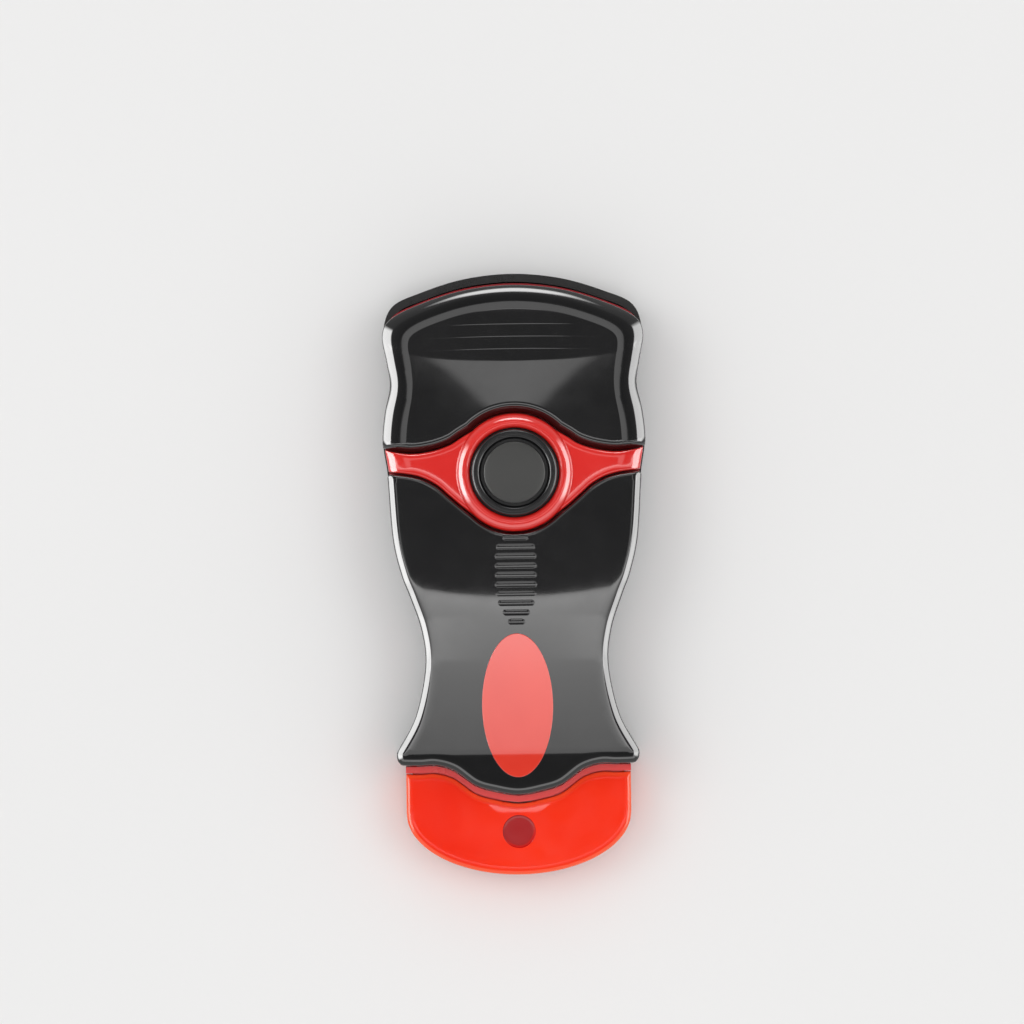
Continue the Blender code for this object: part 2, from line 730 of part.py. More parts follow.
def make_grip_cover():
    side = side_curve(COVER_SETBACK)
    edge, low = edge_from_side(BAND_TOP_SHARES, 1, GAP, side)
    right = [p for p in side if p.y > low]
    loop = right[::-1] + mirrored(right[::-1])[1:] + mirrored_run(edge) + edge[:0:-1] + edge[:1]
    cover = make_cover("grip_cover", loop, case_screw_places()[:2])
    for i, share in enumerate(GROOVE_SHARES):
        bar = bar_loop(GROOVE_HALF * share, GRIP_END_Y - FIRST_GROOVE - i * GROOVE_PITCH, GROOVE_WIDTH)
        cut_from(cover, block("groove", bar, on_cover(loop, -GROOVE_DEPTH), on_cover(loop, OVERRUN)))
    return cover


def nose_loop():
    side = side_curve(COVER_SETBACK)
    edge, high = edge_from_side(BAND_LOW_SHARES, -1, GAP, side)
    right = [p for p in side if p.y < high]
    return right[::-1] + edge + mirrored(edge[:-1]) + mirrored_run(right)


def oval_loop(grow):
    centre_y = LIP_Y + INLAY_FROM_LIP
    half_width = INLAY_HALF_WIDTH + grow
    half_length = INLAY_HALF_LENGTH + grow
    turn = [2 * math.pi * i / OVAL_STEPS for i in range(OVAL_STEPS)]
    return [Vector((half_width * math.cos(a), centre_y + half_length * math.sin(a))) for a in turn]


def make_nose_cover():
    loop = nose_loop()
    cover = make_cover("nose_cover", loop, case_screw_places()[2:])
    cut_from(cover, block("recess", oval_loop(GAP), on_cover(loop, -INLAY_DEPTH), on_cover(loop, OVERRUN),
                          low_falls=(INLAY_HALF_WIDTH / 2,)))
    for i, share in enumerate(RIB_SHARES):
        bar = bar_loop(RIB_HALF * share - RIB_WIDTH / 2, BUTTON_Y - FIRST_RIB - i * RIB_PITCH, RIB_WIDTH)
        join_to(cover, block("rib", bar, on_cover(loop, -COVER_WALL / 2), on_cover(loop, RIB_RISE)))
    return cover


def make_oval_inlay():
    cover = nose_loop()
    surface = on_cover(cover, INLAY_PROUD)
    falls = (*fillet_falls(INLAY_PROUD)[1:], INLAY_HALF_WIDTH / 2)
    return block("oval_inlay", oval_loop(0), on_cover(cover, GAP - INLAY_DEPTH),
                 lambda x, y, d: surface(x, y, d) - fillet_fall(INLAY_PROUD, d), red_plastic(),
                 low_falls=(INLAY_HALF_WIDTH / 2,), high_falls=falls)


# Push button, its spring, and the lock leaf

def make_button():
    inner = BUTTON_RADIUS - BUTTON_SKIRT
    dish = BUTTON_RADIUS - BUTTON_RIM
    under = BUTTON_DISH_Z - BUTTON_TOP
    flange_top = RING_TOP_Z - RING_LIP - GAP
    flange_low = flange_top - FLANGE_HEIGHT
    roll = BUTTON_RIM * ROLL_SHARE
    corner = roll * ROLL_SHARE
    profile = ((0, STEM_Z), (STEM_RADIUS, STEM_Z), (STEM_RADIUS, under), (inner, under), (inner, flange_low),
               (BUTTON_RADIUS + FLANGE, flange_low), (BUTTON_RADIUS + FLANGE, flange_top),
               (BUTTON_RADIUS, flange_top), (BUTTON_RADIUS, BUTTON_Z - roll),
               (BUTTON_RADIUS - corner, BUTTON_Z - corner), (BUTTON_RADIUS - roll, BUTTON_Z),
               (dish + roll, BUTTON_Z), (dish + corner, BUTTON_Z - corner), (dish, BUTTON_Z - roll),
               (dish, BUTTON_DISH_Z), (0, BUTTON_DISH_Z))
    cap = turned("button_cap", profile, 0, BUTTON_Y, BUTTON_STEPS, black_plastic())
    low = BUTTON_DISH_Z + FIT
    top = low + INSERT_THICKNESS
    edge = INSERT_THICKNESS / 3
    profile = ((0, low), (INSERT_RADIUS, low), (INSERT_RADIUS, top - edge),
               (INSERT_RADIUS - edge, top - edge / 3), (INSERT_RADIUS / 2, top), (0, top))
    insert = turned("button_insert", profile, 0, BUTTON_Y, BUTTON_STEPS, matt_plastic())
    return cap, insert


def make_button_spring():
    low = PLATE_TOP_Z + GAP + SPRING_WIRE / 2
    high = BUTTON_DISH_Z - BUTTON_TOP - GAP - SPRING_WIRE / 2
    count = SPRING_TURNS * SPRING_POINTS
    curve = bpy.data.curves.new("button_spring", "CURVE")
    curve.dimensions = "3D"
    curve.bevel_depth = SPRING_WIRE / 2
    curve.bevel_resolution = 1
    curve.use_fill_caps = True
    spline = curve.splines.new("POLY")
    spline.points.add(count)
    for i, point in enumerate(spline.points):
        angle = 2 * math.pi * i / SPRING_POINTS
        point.co = (SPRING_RADIUS * math.cos(angle), BUTTON_Y + SPRING_RADIUS * math.sin(angle),
                    blend(low, high, i / count), 1)
    print("least gap between the spring's coils, mm:", ((high - low) / SPRING_TURNS - SPRING_WIRE) / MM)
    return add_object("button_spring", curve, steel())


def make_lock_leaf():
    half = LEAF_WIDTH / 2
    nose_y = BUTTON_Y - LEAF_NOSE
    leaf = box("lock_leaf", (-half, half), (nose_y, LEAF_SCREW_Y + half), (LEAF_Z, LEAF_Z + LEAF), steel())
    join_to(leaf, box("tooth", (-half + FIT, half - FIT), (nose_y + FIT, nose_y + TOOTH_LENGTH),
                      (LEAF_Z + LEAF / 2, LEAF_Z + LEAF + TOOTH_RISE)))
    above = LEAF_Z + LEAF + OVERRUN
    cut_from(leaf, cylinder("hole", LEAF_SCREW_HOLE, 0, LEAF_SCREW_Y, LEAF_Z - OVERRUN, above))
    return leaf


def screw(name, radius, head, head_height, x, y, tip_z, seat_z):
    """A pan-head screw whose head lies beyond seat_z, away from its tip."""
    away = 1 if seat_z > tip_z else -1
    top = seat_z + away * head_height
    profile = ((0, tip_z), (radius * TIP_SHARE, tip_z), (radius, tip_z + away * radius), (radius, seat_z),
               (head, seat_z), (head, blend(seat_z, top, TIP_SHARE)), (head * HEAD_TOP_SHARE, top), (0, top))
    return turned(name, profile, x, y, SCREW_STEPS, steel())


def make_leaf_screw():
    return screw("leaf_screw", LEAF_SCREW_RADIUS, LEAF_SCREW_HEAD, LEAF_SCREW_HEAD / 2, 0, LEAF_SCREW_Y,
                 FLOOR / 2 + FIT, LEAF_Z + LEAF + FIT)


def make_case_screws():
    seat = SCREW_SEAT_Z - FIT
    tip = COVER_Z + SCREW_GRIP
    for i, (x, y) in enumerate(case_screw_places(), 1):
        screw(f"case_screw_{i}", SCREW_RADIUS, SCREW_HEAD, SCREW_HEAD_HEIGHT, x, y, tip, seat)


# Blade holder with its blade

def holder_loop(half, tail):
    """Plan of the shank, its shoulders and the head, whose front follows the lip inside the collar."""
    back = SPINE_BACK_Y + GAP
    right = [(tail, SHANK_END_Y), (SHANK_HALF, SHANK_END_Y - (SHANK_HALF - tail)),
             (SHANK_HALF, back + SHOULDER_LENGTH),
             (blend(SHANK_HALF, half, SHOULDER_WIDTH_SHARE), back + SHOULDER_LENGTH * SHOULDER_LENGTH_SHARE),
             (half, back)]
    front = lip_curve(half, GAP + COLLAR / 2)
    up = [Vector(p) for p in reversed(right)]
    return front[::-1] + up + mirrored(up)


def make_blade_holder():
    tail = SHANK_HALF - OVERRUN
    plan = holder_loop(HEAD_HALF, tail)
    holder = block("blade_holder", plan, level(SHANK_Z), level(PARTING_Z), red_plastic())
    keel = [p for p in holder_loop(HEAD_HALF - FIT, tail) if p.y < SPINE_BACK_Y + OVERRUN]
    join_to(holder, block("keel", keel, level(HEAD_Z), level(HOLDER_MID_Z - FIT)))
    collar = lip_curve(CAP_HALF, GAP + COLLAR)[::-1] + lip_curve(CAP_HALF, GAP)
    join_to(holder, block("collar", collar, level(HOLDER_MID_Z - COLLAR_HEIGHT / 2),
                          level(HOLDER_MID_Z + COLLAR_HEIGHT / 2)))
    front_y = JAW_Y + FIT
    jaw = [Vector((-HEAD_HALF, front_y)), Vector((HEAD_HALF, front_y))]
    jaw += lip_curve(HEAD_HALF, GAP + COLLAR / 2)
    join_to(holder, block("jaw", jaw, level(HOLDER_MID_Z - JAW / 2), level(HOLDER_MID_Z + JAW / 2)))
    slot_half = BLADE_HALF + GAP
    cut_from(holder, box("blade_slot", (-slot_half, slot_half), (JAW_Y - OVERRUN, BLADE_BACK_Y),
                         (BLADE_Z - FIT, BLADE_Z + BLADE + FIT)))
    wide = HEAD_HALF + OVERRUN
    tray = [Vector((-wide, SPINE_BACK_Y + GAP)), *reversed(lip_curve(wide, GAP + FIT)),
            Vector((wide, SPINE_BACK_Y + GAP))]
    cut_from(holder, block("tray", tray, level(BLADE_Z - FIT), level(PARTING_Z + OVERRUN)))
    cut_from(holder, box("spine_seat", (-wide, wide), (SPINE_FRONT_Y - GAP, SPINE_BACK_Y + GAP),
                         (SPINE_Z - FIT, PARTING_Z + OVERRUN)))
    slot = STEM_RADIUS + GAP
    cut_from(holder, box("stem_slot", (-slot, slot), (BUTTON_Y - slot, BUTTON_Y + STROKE + slot),
                         (SHANK_Z - OVERRUN, PARTING_Z + OVERRUN)))
    notch_half = LEAF_WIDTH / 2 + GAP
    nose_y = BUTTON_Y - LEAF_NOSE
    cut_from(holder, box("notch", (-notch_half, notch_half), (nose_y - GAP, nose_y + TOOTH_LENGTH + GAP),
                         (SHANK_Z - OVERRUN, LEAF_Z + LEAF + TOOTH_RISE + GAP)))
    hole = CLAMP_SCREW_RADIUS + FIT
    for x in (-CLAMP_SCREW_X, CLAMP_SCREW_X):
        cut_from(holder, cylinder("pilot", hole, x, CLAMP_Y, HEAD_Z + HEAD_EXTRA / 2, BLADE_Z))
    return holder


def make_blade():
    middle = BLADE_Z + BLADE / 2

    def half_thickness(y):
        return BLADE / 2 * min(1, EDGE_SHARE + (y - BLADE_EDGE_Y) / BEVEL)

    ys = (BLADE_EDGE_Y, BLADE_EDGE_Y + BEVEL, BLADE_BACK_Y)
    loop = [Vector((BLADE_HALF, y)) for y in ys] + [Vector((-BLADE_HALF, y)) for y in reversed(ys)]
    blade = block("blade", loop, lambda x, y, d: middle - half_thickness(y),
                  lambda x, y, d: middle + half_thickness(y), steel())
    for x in (-CLAMP_SCREW_X, CLAMP_SCREW_X):
        cut_from(blade, cylinder("hole", CLAMP_SCREW_RADIUS + FIT, x, CLAMP_Y, HEAD_Z, PARTING_Z))
    return blade


def make_blade_spine():
    height = BLADE + 2 * (FIT + SPINE_SHEET)
    spine = box("blade_spine", (-BLADE_HALF, BLADE_HALF), (SPINE_FRONT_Y, SPINE_BACK_Y),
                (SPINE_Z, SPINE_Z + height), steel())
    wide = BLADE_HALF + OVERRUN
    cut_from(spine, box("fold", (-wide, wide), (SPINE_FRONT_Y - OVERRUN, BLADE_BACK_Y + FIT),
                        (SPINE_Z + SPINE_SHEET, SPINE_Z + height - SPINE_SHEET)))
    return spine


def make_blade_clamp():
    half_length = CLAMP_LENGTH / 2
    clamp = box("blade_clamp", (-CLAMP_HALF, CLAMP_HALF), (CLAMP_Y - half_length, CLAMP_Y + half_length),
                (CLAMP_Z, CLAMP_Z + CLAMP), steel())
    hole = CLAMP_SCREW_RADIUS + FIT
    head = CLAMP_SCREW_HEAD + FIT
    sink = ((0, CLAMP_Z - OVERRUN), (hole, CLAMP_Z - OVERRUN), (hole, CLAMP_Z + FIT), (head, CLAMP_Z + CLAMP),
            (head, CLAMP_Z + CLAMP + OVERRUN), (0, CLAMP_Z + CLAMP + OVERRUN))
    for x in (-CLAMP_SCREW_X, CLAMP_SCREW_X):
        cut_from(clamp, turned("sink", sink, x, CLAMP_Y, ROUND_STEPS))
    return clamp


def make_clamp_screws():
    tip = HEAD_Z + HEAD_EXTRA / 2 + FIT
    low = CLAMP_Z + 2 * FIT
    top = CLAMP_Z + CLAMP
    profile = ((0, tip), (CLAMP_SCREW_RADIUS, tip), (CLAMP_SCREW_RADIUS, low),
               (CLAMP_SCREW_HEAD - FIT, top), (0, top))
    for i, x in enumerate((CLAMP_SCREW_X, -CLAMP_SCREW_X), 1):
        turned(f"clamp_screw_{i}", profile, x, CLAMP_Y, SCREW_STEPS, steel())


# Blade cap

def cap_loop(shrink, mouth_shift):
    """Plan of the cap: its mouth follows the lip, its end is half an ellipse, and shrink draws it in."""
    half = CAP_HALF - shrink
    depth = CAP_ROUND - shrink
    centre_y = CAP_END_Y + CAP_ROUND
    turns = [share * math.pi / 2 for share in CAP_TURN_SHARES]
    points = [(half * math.sin(turn), centre_y - depth * math.cos(turn)) for turn in turns]
    right = smooth_curve(points, STEPS, (-points[1][0], points[1][1]))
    return mirrored(right[1:]) + right + lip_curve(half, mouth_shift)


def make_blade_cap():
    low = HOLDER_MID_Z - CAP_HEIGHT / 2
    high = HOLDER_MID_Z + CAP_HEIGHT / 2
    mouth = GAP + COLLAR + GAP
    falls = fillet_falls(CAP_FILLET)
    cap = block("blade_cap", cap_loop(0, mouth), lambda x, y, d: low + fillet_fall(CAP_FILLET, d),
                lambda x, y, d: high - fillet_fall(CAP_FILLET, d), orange_plastic(),
                low_falls=falls, high_falls=falls)
    cut_from(cap, block("hollow", cap_loop(CAP_WALL, mouth - 2 * OVERRUN), level(low + CAP_WALL),
                        level(high - CAP_WALL)))
    dish = ((0, high - DIMPLE_DEPTH), (DIMPLE_RADIUS * DIMPLE_FLOOR_SHARE, high - DIMPLE_DEPTH),
            (DIMPLE_RADIUS, high), (DIMPLE_RADIUS, high + OVERRUN), (0, high + OVERRUN))
    cut_from(cap, turned("dimple", dish, 0, CAP_END_Y + DIMPLE_FROM_END, OVAL_STEPS))
    return cap


def main():
    remove_all()
    make_back_shell()
    make_middle_frame()
    make_grip_cover()
    make_nose_cover()
    make_oval_inlay()
    make_button()
    make_button_spring()
    make_lock_leaf()
    make_leaf_screw()
    make_blade_holder()
    make_blade()
    make_blade_spine()
    make_blade_clamp()
    make_clamp_screws()
    make_blade_cap()
    make_case_screws()


main()
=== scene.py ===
"""Looks of the pocket scraper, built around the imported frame.

Glossy black covers on a red middle frame, a push button in a red ring, and a translucent
orange-red blade cap. Lengths in the tables below are in millimetres.
"""

import json
import math

import bmesh
import bpy
import numpy as np
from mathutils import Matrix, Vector
from mathutils.geometry import delaunay_2d_cdt

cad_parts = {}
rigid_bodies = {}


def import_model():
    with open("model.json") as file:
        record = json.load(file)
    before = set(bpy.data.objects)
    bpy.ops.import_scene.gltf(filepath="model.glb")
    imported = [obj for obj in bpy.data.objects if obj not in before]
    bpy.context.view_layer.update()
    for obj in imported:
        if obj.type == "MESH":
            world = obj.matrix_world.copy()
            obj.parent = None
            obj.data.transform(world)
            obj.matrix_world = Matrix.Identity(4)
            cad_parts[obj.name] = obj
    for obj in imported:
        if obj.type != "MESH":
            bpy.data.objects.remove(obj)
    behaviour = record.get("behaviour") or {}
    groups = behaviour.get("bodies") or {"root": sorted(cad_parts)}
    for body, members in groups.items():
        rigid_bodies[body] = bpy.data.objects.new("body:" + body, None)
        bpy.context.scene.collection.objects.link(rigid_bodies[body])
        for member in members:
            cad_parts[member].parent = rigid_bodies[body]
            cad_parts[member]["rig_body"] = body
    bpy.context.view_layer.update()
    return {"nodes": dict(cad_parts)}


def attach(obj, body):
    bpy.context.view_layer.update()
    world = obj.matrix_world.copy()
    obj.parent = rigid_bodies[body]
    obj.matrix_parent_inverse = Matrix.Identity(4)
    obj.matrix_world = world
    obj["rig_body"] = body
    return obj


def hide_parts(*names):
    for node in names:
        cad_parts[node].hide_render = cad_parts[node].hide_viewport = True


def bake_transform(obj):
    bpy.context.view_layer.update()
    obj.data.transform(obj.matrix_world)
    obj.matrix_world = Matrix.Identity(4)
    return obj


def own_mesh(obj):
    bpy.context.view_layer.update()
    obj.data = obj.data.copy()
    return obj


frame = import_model()
MM = 0.001

# Running gap and close fit between pieces, and how far a cutter overruns what it cuts
GAP = 0.3
FIT = 0.15
OVERRUN = 1.0

# Places along the body
GRIP_END_Y = 56.15
BUTTON_Y = 18.95
LIP_Y = -41.05
CAP_END_Y = -56.15
GRIP_LENGTH = 37.2
NOSE_LENGTH = 60.0

# Half widths of the body, from the grip end to the nose
GRIP_HALF = 24.3
PINCH_HALF = 22.95
BAND_HALF = 24.45
HIP_HALF = 22.8
WAIST_HALF = 17.06
NOSE_HALF = 22.6
LIP_DROP = 5.7
CROWN_RADIUS = 45.3
COVER_SETBACK = 2.3
FRAME_SETBACK = 1.5

# Levels above the back face
PARTING_Z = 7.05
PLATE_Z = 7.35
PLATE_TOP_Z = 8.75
COVER_Z = 9.05
RING_TOP_Z = 16.05
BUTTON_Z = 16.95
DISH_Z = 15.85
HOLDER_MID_Z = 5.25

# Outline stations, as shares of the widths and lengths that they follow
CROWN_SHARES = (0, 0.37, 0.7, 0.93)
GRIP_SIDE_SHARES = ((GRIP_HALF, GRIP_HALF, 0, 0.306), (PINCH_HALF, GRIP_HALF, 0.45, 0.44),
                    (PINCH_HALF, PINCH_HALF, 0, 0.56), (PINCH_HALF, BAND_HALF, 0.7, 0.7),
                    (BAND_HALF, BAND_HALF, 0, 0.85))
NOSE_SIDE_SHARES = ((HIP_HALF, BAND_HALF, 0.5, 0.01), (HIP_HALF, HIP_HALF, 0, 0.2),
                    (WAIST_HALF, HIP_HALF, 0.74, 0.312), (WAIST_HALF, HIP_HALF, 0.46, 0.384),
                    (WAIST_HALF, HIP_HALF, 0.106, 0.487), (WAIST_HALF, WAIST_HALF, 0, 0.6),
                    (WAIST_HALF, NOSE_HALF, 0.345, 0.752))
CORNER_SHARES = ((0.9885, 1.491), (0.997, 1.405), (1, 1.307), (0.9942, 1.174), (0.9779, 1.065), (0.957, 1.007))
LIP_SHARES = ((0.916, 0.991), (0.8, 0.985), (0.68, 1.0), (0.53, 0.82), (0.36, 0.33), (0.2, 0.13), (0, 0))
BAND_TOP_SHARES = ((1.02, 0.41), (0.8, 0.335), (0.63, 0.375), (0.49, 0.475), (0.4, 0.6))
BAND_LOW_SHARES = ((1.02, 0.04), (0.83, 0), (0.7, -0.07), (0.59, -0.2), (0.51, -0.355), (0.42, -0.53))
RING_RADIUS = 11.0
BUTTON_RADIUS = 8.0
STEPS = 7

# Slope of the covers along the centre line, and their rise above their seat at the button
RIDGE_SLOPES = ((-43.0, 0.16), (-34.0, 0.16), (-32.4, 0.0652), (-19.6, 0.0628), (-12.0, 0.0575), (-8.5, 0.0545),
                (-6.5, 0.051), (-5.3, 0.045), (-4.1, 0.035), (-2.4, 0.016), (0.0, 0.006), (19.0, 0.001),
                (27.0, 0.0), (29.0, -0.012), (31.0, -0.028), (33.0, -0.045), (36.0, -0.062), (39.3, -0.07),
                (39.85, 0.0), (47.0, 0.0), (51.0, -0.008), (57.0, -0.02))
BUTTON_RISE = 6.26
CROWN = 0.5

# Bends of the slope's breaks towards the sides: rise for each square millimetre of x, then the y where
# a bend starts, how far it takes to set in, the y where it ends, and how far it takes to fade
BENDS = ((0.0045, 33, 5, 46, 4), (0.0055, -16, 8, 7, 6))

# Tilt of a surface near an edge: millimetres in from the edge, degrees
GRIP_RIM = ((0.0, 84), (0.05, 55), (0.12, 39), (1.4, 26), (1.7, 16), (2.2, 11), (2.7, 8.5), (4.35, 4.5), (4.5, 0.4),
            (5.2, 0))
NOSE_RIM = ((0.0, 84), (0.05, 52), (0.14, 38), (1.0, 26), (1.2, 12), (1.4, 4), (1.8, 1.2), (2.6, 0))
GRIP_BAND_RIM = ((0.0, 85), (0.15, 62), (0.95, 46), (1.15, 33), (1.3, 14), (1.6, 3), (2.0, 0))
NOSE_BAND_RIM = ((0.0, 84), (0.25, 55), (0.4, 12), (0.7, 3), (1.0, 0))
BAND_RIM = ((0.0, 84), (0.1, 50), (0.4, 22), (0.7, 8), (1.4, 2), (2.0, 0))
RING_RIM = ((0.0, 80), (0.15, 60), (0.5, 42), (1.25, 25), (1.45, 12), (1.65, 0))
CAP_RIM = ((0.0, 84), (0.1, 55), (0.35, 38), (0.8, 18), (0.95, 5), (1.05, 0))


# Curves, as arrays of points in millimetres

SIDE_MARGIN = 0.3
INSET_KEEP = 0.985


def smooth_curve(points, steps, before=None, after=None):
    run = [np.array(p, float) for p in points]
    run = [np.array(before, float) if before is not None else run[0]] + run
    run = run + [np.array(after, float) if after is not None else run[-1]]
    curve = []
    for a, b, c, d in zip(run, run[1:], run[2:], run[3:]):
        for i in range(steps):
            t = i / steps
            curve.append((2 * b + (c - a) * t + (2 * a - 5 * b + 4 * c - d) * t ** 2
                          + (3 * b - a - 3 * c + d) * t ** 3) / 2)
    curve.append(run[-2])
    return np.array(curve)


def mirrored(points):
    return points[::-1] * (-1, 1)


def blend(low, high, share):
    return low + (high - low) * share


def side_curve(setback):
    """The right side, from the middle of the grip end to the middle of the lip."""
    crown_y = GRIP_END_Y - setback
    points = []
    for share in CROWN_SHARES:
        x = share * GRIP_HALF
        points.append((x, crown_y - CROWN_RADIUS + math.sqrt(CROWN_RADIUS ** 2 - x ** 2)))
    for low, high, share, along in GRIP_SIDE_SHARES:
        points.append((blend(low, high, share), GRIP_END_Y - along * GRIP_LENGTH))
    for low, high, share, along in NOSE_SIDE_SHARES:
        points.append((blend(low, high, share), BUTTON_Y - along * NOSE_LENGTH))
    points += [(x * NOSE_HALF, LIP_Y + share * LIP_DROP) for x, share in CORNER_SHARES + LIP_SHARES]
    start = (-points[1][0], points[1][1])
    end = (-points[-2][0], points[-2][1])
    return smooth_curve(points, STEPS, start, end)


def lip_curve(half, shift):
    """The lip's S-curve from right to left, moved towards the nose."""
    points = [(x * NOSE_HALF, LIP_Y + share * LIP_DROP - shift) for x, share in LIP_SHARES]
    curve = smooth_curve(points, STEPS, None, (-points[-2][0], points[-2][1]))
    right = curve[curve[:, 0] < half - SIDE_MARGIN]
    right = np.vstack(((half, right[0][1]), right))
    return np.vstack((right, mirrored(right[:-1])))


def full_loop(right):
    up = right[::-1]
    return np.vstack((up, mirrored(up[1:-1])))


def band_edge(shares, sign, grow):
    """An edge of the band, from the right side to the centre line along the ring."""
    radius = RING_RADIUS + grow
    points = [(x * BAND_HALF, BUTTON_Y + share * RING_RADIUS + sign * grow) for x, share in shares]
    angles = np.linspace(math.pi * 0.25, math.pi * 0.5, 20)
    arc = np.column_stack((radius * np.cos(angles), BUTTON_Y + sign * radius * np.sin(angles)))
    arc[-1][0] = 0
    flare = smooth_curve(points + [arc[0]], STEPS, None, arc[1])
    return np.vstack((flare, arc[1:]))


def at_height(side, y):
    for a, b in zip(side, side[1:]):
        if a[1] >= y >= b[1] and a[1] > b[1]:
            return a + (b - a) * (a[1] - y) / (a[1] - b[1])
    return side[-1]


def edge_from_side(shares, sign, grow, side):
    edge = band_edge(shares, sign, grow)
    start_y = edge[0][1]
    start = at_height(side, start_y)
    return np.vstack((start, edge[edge[:, 0] < start[0] - SIDE_MARGIN])), start_y


def distance(line, points, closed=True):
    """Distance from each point to the nearest edge of a loop or an open line."""
    a = line if closed else line[:-1]
    ab = (np.roll(line, -1, 0) - a) if closed else line[1:] - a
    length = np.maximum((ab ** 2).sum(1), 1e-12)
    found = []
    for start in range(0, len(points), 2000):
        p = points[start:start + 2000, None] - a
        t = np.clip((p * ab).sum(2) / length, 0, 1)
        found.append(np.sqrt(((p - t[..., None] * ab) ** 2).sum(2).min(1)))
    return np.concatenate(found) if found else np.zeros(0)


def inside(loop, points):
    hit = np.zeros(len(points), bool)
    for a, b in zip(loop, np.roll(loop, -1, 0)):
        if a[1] == b[1]:
            continue
        spans = (a[1] > points[:, 1]) != (b[1] > points[:, 1])
        hit ^= spans & (points[:, 0] < a[0] + (points[:, 1] - a[1]) / (b[1] - a[1]) * (b[0] - a[0]))
    return hit


def edge_normals(loop):
    """The directions out of a loop that runs anticlockwise, and each corner's stretch."""
    first = loop - np.roll(loop, 1, 0)
    first /= np.linalg.norm(first, axis=1)[:, None]
    along = first + np.roll(first, -1, 0)
    along /= np.linalg.norm(along, axis=1)[:, None]
    stretch = 1 / np.maximum((along * first).sum(1), 0.3)
    return np.column_stack((along[:, 1], -along[:, 0])), stretch


def inset(loop, depth):
    """The loop moved inwards, without the points that come too near to another edge."""
    out, stretch = edge_normals(loop)
    moved = loop - out * (depth * stretch)[:, None]
    keep = (distance(loop, moved) > depth * INSET_KEEP) & inside(loop, moved)
    return moved[keep]


def without_doubles(loop, least=0.02):
    step = np.linalg.norm(loop - np.roll(loop, 1, 0), axis=1)
    return loop[step > least]


# Meshes

def placed(name, data):
    obj = bpy.data.objects.new(name, data)
    bpy.context.scene.collection.objects.link(obj)
    return obj


def opened(*meshes):
    bm = bmesh.new()
    for mesh in meshes:
        bm.from_mesh(mesh)
    return bm


def closed_mesh(name, bm):
    mesh = bpy.data.meshes.new(name)
    bm.to_mesh(mesh)
    bm.free()
    return mesh


def new_object(name, mesh, material, body, slot, *replaced):
    obj = placed(name, mesh)
    mesh.materials.append(material)
    if body:
        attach(obj, body)
    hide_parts(*replaced)
    return obj


def flat_faces(loop, inner):
    """Triangles over a loop with points inside it: the points and the faces."""
    points = [Vector(p) for p in np.vstack((loop, inner))]
    edges = [(i, (i + 1) % len(loop)) for i in range(len(loop))]
    flat, _, faces, _, _, _ = delaunay_2d_cdt(points, edges, [], 0, 1e-5)
    flat = np.array([tuple(p) for p in flat])
    middles = np.array([flat[list(f)].mean(0) for f in faces])
    kept = inside(loop, middles)
    return flat, [tuple(f) for f, keep in zip(faces, kept) if keep]


def slopes(height, points):
    """Surface normals of a height function, from small steps to each side."""
    step = 0.01
    rise = [(height(points + move) - height(points - move)) / (2 * step) for move in ((step, 0), (0, step))]
    normals = np.column_stack((-rise[0], -rise[1], np.ones(len(points))))
    return normals / np.linalg.norm(normals, axis=1)[:, None]


def spaced(low, high, spacing):
    """A staggered grid of points over a box."""
    columns = np.arange(low[0] + spacing / 2, high[0], spacing)
    rows = np.arange(low[1] + spacing / 2, high[1], spacing)
    grid = [(x + (spacing / 2 if i % 2 else 0), y) for i, y in enumerate(rows) for x in columns]
    return np.array(grid).reshape(-1, 2)


def fine_grid(x_half, y_low, y_high, x_step, y_step):
    """A plain grid, symmetrical across the centre plane."""
    xs = np.linspace(-x_half, x_half, round(2 * x_half / x_step) + 1)
    ys = np.linspace(y_low, y_high, round((y_high - y_low) / y_step) + 1)
    return np.array([(x, y) for y in ys for x in xs])


DETAIL_MARGIN = 0.1
EDGE_MARGIN = 0.05
RING_MARGIN = 0.15
ROW_MARGIN = 0.2


